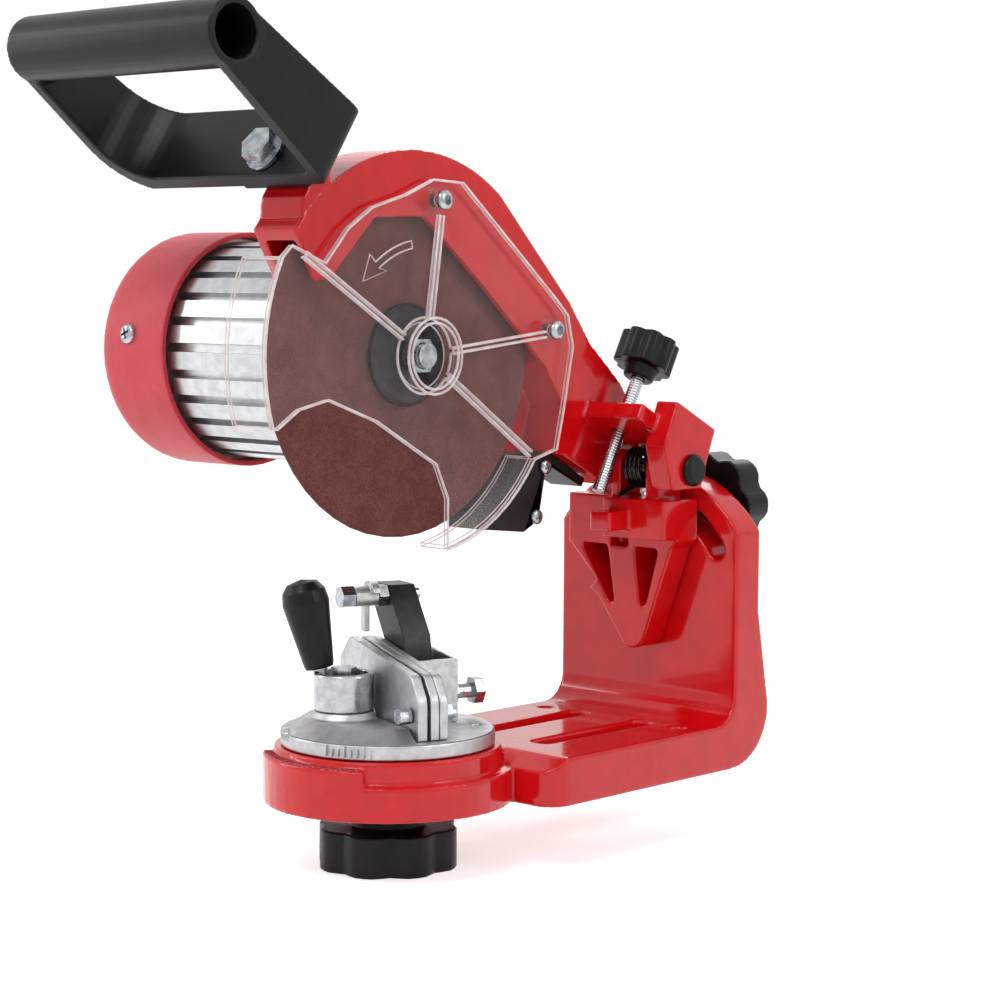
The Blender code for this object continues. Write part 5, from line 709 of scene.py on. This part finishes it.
def screw_head(name, node, centre, axis, radius, recess, shank):
    """A domed head seated at centre, rising along axis, over a plain shank. It stands for the node."""
    rise = radius * HEAD_RISE
    place = Matrix.Translation(centre) @ axis.to_track_quat("Z", "Y").to_matrix().to_4x4()
    dome = [(radius * across, rise * up) for across, up in HEAD_DOME]
    stem = [(radius * STEM_RADIUS, -shank), (radius * STEM_RADIUS, rise * STEM_OVERLAP)]
    shape = bmesh.new()
    loops = lathe(shape, dome, HEAD_AROUND, place)
    shape.faces.new(loops[-1])
    shape.faces.new(loops[0][::-1])
    loops = lathe(shape, stem, STEM_AROUND, place)
    shape.faces.new(loops[0][::-1])
    shape.faces.new(loops[-1])
    mesh = as_mesh(shape, name)
    top = Matrix.Translation((0, 0, rise))
    shape = bmesh.new()
    if recess == "cross":
        blade = Matrix.Diagonal((radius * CROSS_LENGTH, radius * CROSS_WIDTH, rise * CROSS_DEPTH, 1.0))
        for quarter in (0.0, math.pi / 2):
            way = Matrix.Rotation(quarter + CROSS_TURN, 4, "Z")
            bmesh.ops.create_cube(shape, size=1.0, matrix=place @ way @ top @ blade)
    else:
        bmesh.ops.create_cone(shape, segments=6, radius1=radius * SOCKET_RADIUS,
                              radius2=radius * SOCKET_RADIUS, depth=rise * SOCKET_DEPTH,
                              cap_ends=True, matrix=place @ top)
    punch = stand(name + "_punch", as_mesh(shape, name + "_punch"))
    head = new_piece(name, mesh, "arm", zinc_steel, smooth_angle=HEAD_SMOOTH)
    cut = head.modifiers.new("recess", "BOOLEAN")
    cut.object, cut.operation, cut.solver, cut.use_self = punch, "DIFFERENCE", "EXACT", True
    apply_all(head)
    head.data.set_sharp_from_angle(angle=math.radians(HEAD_SMOOTH))
    bpy.data.objects.remove(punch)
    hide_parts(node)


for number, degrees in CAP_SCREW_ANGLES.items():
    node = f"cap_screw_{number}"
    outward = Vector((0.0, math.cos(math.radians(degrees)), math.sin(math.radians(degrees))))
    reach = [(vertex.co - SPINDLE).dot(outward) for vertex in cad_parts[node].data.vertices]
    low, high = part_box(node)
    radius = (high.x - low.x) / 2
    seat = max(reach) - radius * HEAD_RISE
    centre = SPINDLE + outward * seat
    centre.x = (low.x + high.x) / 2
    screw_head(node + "_pan_head", node, centre, outward, radius, "cross", seat - min(reach))


# ---------------------------------------------------------------- spindle and wheel
# The motor's zinc plated spindle carries two turned flanges and a nut. The wheel between them is
# vitrified aluminium oxide.

# Vitrified brown abrasive: matte and broken. Its grit is about 0.3 mm across, and drawn at 0.55 mm so
# that it shows, over patches that are a shade paler.
GRIT_DRAWN_MM = 0.55
grit, tree = start_material("vitrified_brown_abrasive")
where = add(tree, "ShaderNodeTexCoord")
crystals = add(tree, "ShaderNodeTexVoronoi", {"Vector": (where, PLACE), "Scale": 1000.0 / GRIT_DRAWN_MM})
patches = gritty(tree, 9.0, 3.9, 4.0)
colour = add(tree, "ShaderNodeValToRGB", {"Fac": (crystals, "Distance")},
             ramp={0.15: "#5A302D", 0.60: "#7E4C48"})
shade = add(tree, "ShaderNodeValToRGB", {"Fac": (patches, "Fac")},
            ramp={0.35: "#E3DAD8", 0.65: "#FFFFFF"})
graded = add(tree, "ShaderNodeMix",         # its colours are sockets 6 and 7, and 2 comes out
             {"Factor": 1.0, 6: (colour, "Color"), 7: (shade, "Color")},
             data_type="RGBA", blend_type="MULTIPLY")
bump = rounded_bump(tree, (crystals, "Distance"), 0.55, 0.20, 0.5)
skin = add(tree, "ShaderNodeBsdfPrincipled",
           {"Base Color": (graded, 2), "Roughness": 0.92, "Normal": (bump, "Normal"),
            "Specular IOR Level": 0.25})
add(tree, "ShaderNodeOutputMaterial", {"Surface": (skin, "BSDF")})
finish_node("grinding_wheel", grit)

# Black oxide on the turned flanges: dark and oily, with a fine mottle about 0.6 mm across.
black_oxide, tree = start_material("black_oxide_turned_steel")
film, cloud = gritty(tree, 0.6, 1.9, 3.0), gritty(tree, 4.0, 0.2, 2.0)
colour = add(tree, "ShaderNodeValToRGB", {"Fac": (cloud, "Fac")},
             ramp={0.35: "#141315", 0.65: "#29272A"})
rough = add(tree, "ShaderNodeMapRange",
            {"Value": (film, "Fac"), **NOISE_RANGE, "To Min": 0.26, "To Max": 0.42})
bump = rounded_bump(tree, (film, "Fac"), 0.2, 0.05, 0.4)
skin = add(tree, "ShaderNodeBsdfPrincipled",
           {"Base Color": (colour, "Color"), "Metallic": 0.6, "Roughness": (rough, "Result"),
            "Normal": (bump, "Normal")})
add(tree, "ShaderNodeOutputMaterial", {"Surface": (skin, "BSDF")})
for node in ("outer_flange", "inner_flange"):
    finish_node(node, black_oxide)
for node in ("spindle", "spindle_nut"):
    finish_node(node, zinc_steel)


# ---------------------------------------------------------------- guard
# The guard is one injection moulding in clear polycarbonate: a thin plate with stiffening ribs, a hub
# ring and a wrapped rim. Two spacers and two button heads with a hexagon socket hold it.
PLATE_FACE_X = 0.0128
FACE_REACH = 0.0002                         # an edge this near the face is on it
EDGE_BEAD, BAND_BEAD = 0.00055, 0.00030     # radii
EDGE_TURN = math.radians(40.0)
STRAIGHT = math.radians(1.0)
SHORTEST_BEAD = 0.012
RIGHTWARD = Vector((1.0, 0.0, 0.0))

# Clear polycarbonate: nearly unseen face on, and veiled with white where it turns away, a painted
# reflection, with slow flow waves about 14 mm across.
clear_plate, tree = start_material("moulded_clear_polycarbonate")
flow = gritty(tree, 14.0, 2.7, 2.0)
facing = add(tree, "ShaderNodeLayerWeight", {"Blend": 0.5})
# The white veil that thickens as the plate turns away is a painted reflection.
painted_sheen_veil = add(tree, "ShaderNodeMapRange", {"Value": (facing, "Facing"), "From Min": 0.35, "From Max": 1.0,
                                        "To Min": 0.015, "To Max": 0.22})
wave = add(tree, "ShaderNodeMath", {0: (flow, "Fac"), 1: 0.03}, operation="MULTIPLY")
total = add(tree, "ShaderNodeMath", {0: (painted_sheen_veil, "Result"), 1: (wave, "Value")}, operation="ADD")
bump = add(tree, "ShaderNodeBump", {"Height": (flow, "Fac"), "Strength": 0.02, "Distance": 0.0001})
skin = add(tree, "ShaderNodeBsdfPrincipled",
           {"Base Color": linear("#FBF4F4"), "Roughness": 0.06, "IOR": 1.58,
            "Alpha": (total, "Value"), "Normal": (bump, "Normal")})
add(tree, "ShaderNodeOutputMaterial", {"Surface": (skin, "BSDF")})
for node in ("wheel_guard", "guard_spacer_top", "guard_spacer_right"):
    finish_node(node, clear_plate)

# The same plastic seen through an edge, where it is thick: it gathers the light, brighter and less
# clear, painted on as a glow, with a painted pale pink reflection of the red castings in patches.
painted_edge_glow, tree = start_material("clear_polycarbonate_painted_edge_glow")
flow = gritty(tree, 5.0, 5.7, 2.0)
colour = add(tree, "ShaderNodeValToRGB", {"Fac": (flow, "Fac")},
             ramp={0.35: "#F6DCDD", 0.65: "#FFFBFB"})
facing = add(tree, "ShaderNodeLayerWeight", {"Blend": 0.5})
painted_sheen_veil = add(tree, "ShaderNodeMapRange", {"Value": (facing, "Facing"), "To Min": 0.55, "To Max": 0.95})
skin = add(tree, "ShaderNodeBsdfPrincipled",
           {"Base Color": (colour, "Color"), "Roughness": 0.10, "IOR": 1.58, "Alpha": (painted_sheen_veil, "Result")})
add(tree, "ShaderNodeOutputMaterial", {"Surface": (skin, "BSDF")})


def end_to_end(edges):
    """Join mesh edges end to end into lines of points."""
    open_ends = {}
    for edge in edges:
        for vertex in edge.verts:
            open_ends.setdefault(vertex, []).append(edge)
    unused, lines = set(edges), []
    while unused:
        edge = min(unused, key=lambda e: e.index)
        unused.discard(edge)
        line = list(edge.verts)
        for forward in (True, False):
            while True:
                tip = line[-1] if forward else line[0]
                onward = [e for e in open_ends[tip] if e in unused]
                if not onward:
                    break
                unused.discard(onward[0])
                line.insert(len(line) if forward else 0, onward[0].other_vert(tip))
        lines.append([v.co.copy() for v in line])
    return lines


# Beads run along the moulding's sharp edges: 0.55 mm in radius on the plate's outer face, and 0.3 mm
# on the band and the ribs behind it. They carry the painted edge glow.
shape = welded("wheel_guard")
bmesh.ops.dissolve_limit(shape, angle_limit=STRAIGHT, verts=shape.verts, edges=shape.edges)
shape.edges.index_update()
sharp = [edge for edge in shape.edges
         if len(edge.link_faces) == 2 and edge.calc_face_angle(0.0) > EDGE_TURN]
outer = {edge for edge in sharp
         if all(vertex.co.x > PLATE_FACE_X - FACE_REACH for vertex in edge.verts)}
for name, edges, radius in (("guard_edge_glow_beads", [e for e in sharp if e in outer], EDGE_BEAD),
                            ("guard_band_glow_beads", [e for e in sharp if e not in outer], BAND_BEAD)):
    lines = [line for line in end_to_end(edges)
             if sum((b - a).length for a, b in zip(line, line[1:])) > SHORTEST_BEAD]
    wire_piece(name, lines, radius, "arm", painted_edge_glow, resolution=2)
shape.free()

# A plain outlined arrow, moulded into the plate, shows which way the wheel turns.
ARROW_LIFT = 0.0002
ARROW_LINE = 0.00035
SHAFT_INNER, SHAFT_OUTER = 0.0425, 0.0455
SHAFT_FROM, SHAFT_TO, SHAFT_STEPS = 99.5, 126.5, 12    # the first two in degrees round the wheel
BARB_OUTER, BARB_OUTER_AT = 0.0497, 127.5              # radius, and degrees round the wheel
BARB_INNER, BARB_INNER_AT = 0.0393, 122.5
TIP, TIP_AT = 0.0447, 139.4


def guard_point(radius, degrees):
    """A point on the plate's face, round the wheel's axis."""
    angle = math.radians(degrees)
    return Vector((PLATE_FACE_X + ARROW_LIFT, SPINDLE.y + radius * math.cos(angle),
                   SPINDLE.z + radius * math.sin(angle)))


shaft = [SHAFT_FROM + (SHAFT_TO - SHAFT_FROM) * i / SHAFT_STEPS for i in range(SHAFT_STEPS + 1)]
arrow = [guard_point(SHAFT_OUTER, angle) for angle in shaft]
arrow += [guard_point(BARB_OUTER, BARB_OUTER_AT), guard_point(TIP, TIP_AT),
          guard_point(BARB_INNER, BARB_INNER_AT)]
arrow += [guard_point(SHAFT_INNER, angle) for angle in reversed(shaft)]
# The arrow's outline carries the painted edge glow too.
wire_piece("guard_arrow", [arrow], ARROW_LINE, "arm", painted_edge_glow,
           closed=True, resolution=1)


def screw_from_right(node, ending, recess):
    """A screw driven in from the right, in its node's place."""
    low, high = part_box(node)
    radius = (high.y - low.y) / 2
    centre = (low + high) / 2
    centre.x = high.x - radius * HEAD_RISE
    screw_head(node + ending, node, centre, RIGHTWARD, radius, recess, centre.x - low.x)


for side in ("top", "right"):
    screw_from_right(f"guard_screw_{side}", "_button_head", "hexagon")


# ---------------------------------------------------------------- switch box
# A box moulded in black ABS hangs under the neck, closed by a cover with the rocker and the cord's
# gland. The cord itself isn't shown. Two pan heads hold the box.

# Moulded black ABS: satin, with grain about 0.5 mm across.
black_abs, tree = start_material("moulded_black_abs")
grain, sheen = gritty(tree, 0.5, 9.9, 3.0), gritty(tree, 9.0, 1.4, 2.0)
colour = add(tree, "ShaderNodeValToRGB", {"Fac": (sheen, "Fac")},
             ramp={0.35: "#101012", 0.65: "#19191B"})
rough = add(tree, "ShaderNodeMapRange",
            {"Value": (grain, "Fac"), **NOISE_RANGE, "To Min": 0.36, "To Max": 0.52})
bump = rounded_bump(tree, (grain, "Fac"), 0.25, 0.08, 0.6)
skin = add(tree, "ShaderNodeBsdfPrincipled",
           {"Base Color": (colour, "Color"), "Roughness": (rough, "Result"), "Normal": (bump, "Normal"),
            "IOR": 1.53, "Specular IOR Level": 0.25})
add(tree, "ShaderNodeOutputMaterial", {"Surface": (skin, "BSDF")})
soften("switch_box", "switch_box_moulding", "arm", black_abs, 0.5)
soften("switch_cover", "switch_cover_moulding", "arm", black_abs, 0.4)

# Polished black nylon on the rocker: glossy and smooth, with a slow haze.
gloss_nylon, tree = start_material("polished_black_nylon")
haze = gritty(tree, 3.0, 0.9, 2.0)
colour = add(tree, "ShaderNodeValToRGB", {"Fac": (haze, "Fac")},
             ramp={0.35: "#121214", 0.65: "#1B1B1E"})
rough = add(tree, "ShaderNodeMapRange",
            {"Value": (haze, "Fac"), **NOISE_RANGE, "To Min": 0.16, "To Max": 0.26})
bump = rounded_bump(tree, (haze, "Fac"), 0.05, 0.03, 0.4)
skin = add(tree, "ShaderNodeBsdfPrincipled",
           {"Base Color": (colour, "Color"), "Roughness": (rough, "Result"), "Normal": (bump, "Normal"),
            "IOR": 1.53})
add(tree, "ShaderNodeOutputMaterial", {"Surface": (skin, "BSDF")})
finish_node("switch_rocker", gloss_nylon)

# Moulded black rubber on the gland: dull, with a grey bloom in spots about 1.2 mm across.
soft_rubber, tree = start_material("moulded_black_rubber")
bloom = gritty(tree, 1.2, 2.1, 4.0)
colour = add(tree, "ShaderNodeValToRGB", {"Fac": (bloom, "Fac")},
             ramp={0.35: "#1A1A1B", 0.65: "#2B2B2C"})
rough = add(tree, "ShaderNodeMapRange",
            {"Value": (bloom, "Fac"), **NOISE_RANGE, "To Min": 0.58, "To Max": 0.74})
bump = rounded_bump(tree, (bloom, "Fac"), 0.2, 0.06, 0.5)
skin = add(tree, "ShaderNodeBsdfPrincipled",
           {"Base Color": (colour, "Color"), "Roughness": (rough, "Result"), "Normal": (bump, "Normal"),
            "IOR": 1.52})
add(tree, "ShaderNodeOutputMaterial", {"Surface": (skin, "BSDF")})
finish_node("cord_gland", soft_rubber)

for number in (1, 2):
    screw_from_right(f"box_screw_{number}", "_pan_head", "cross")
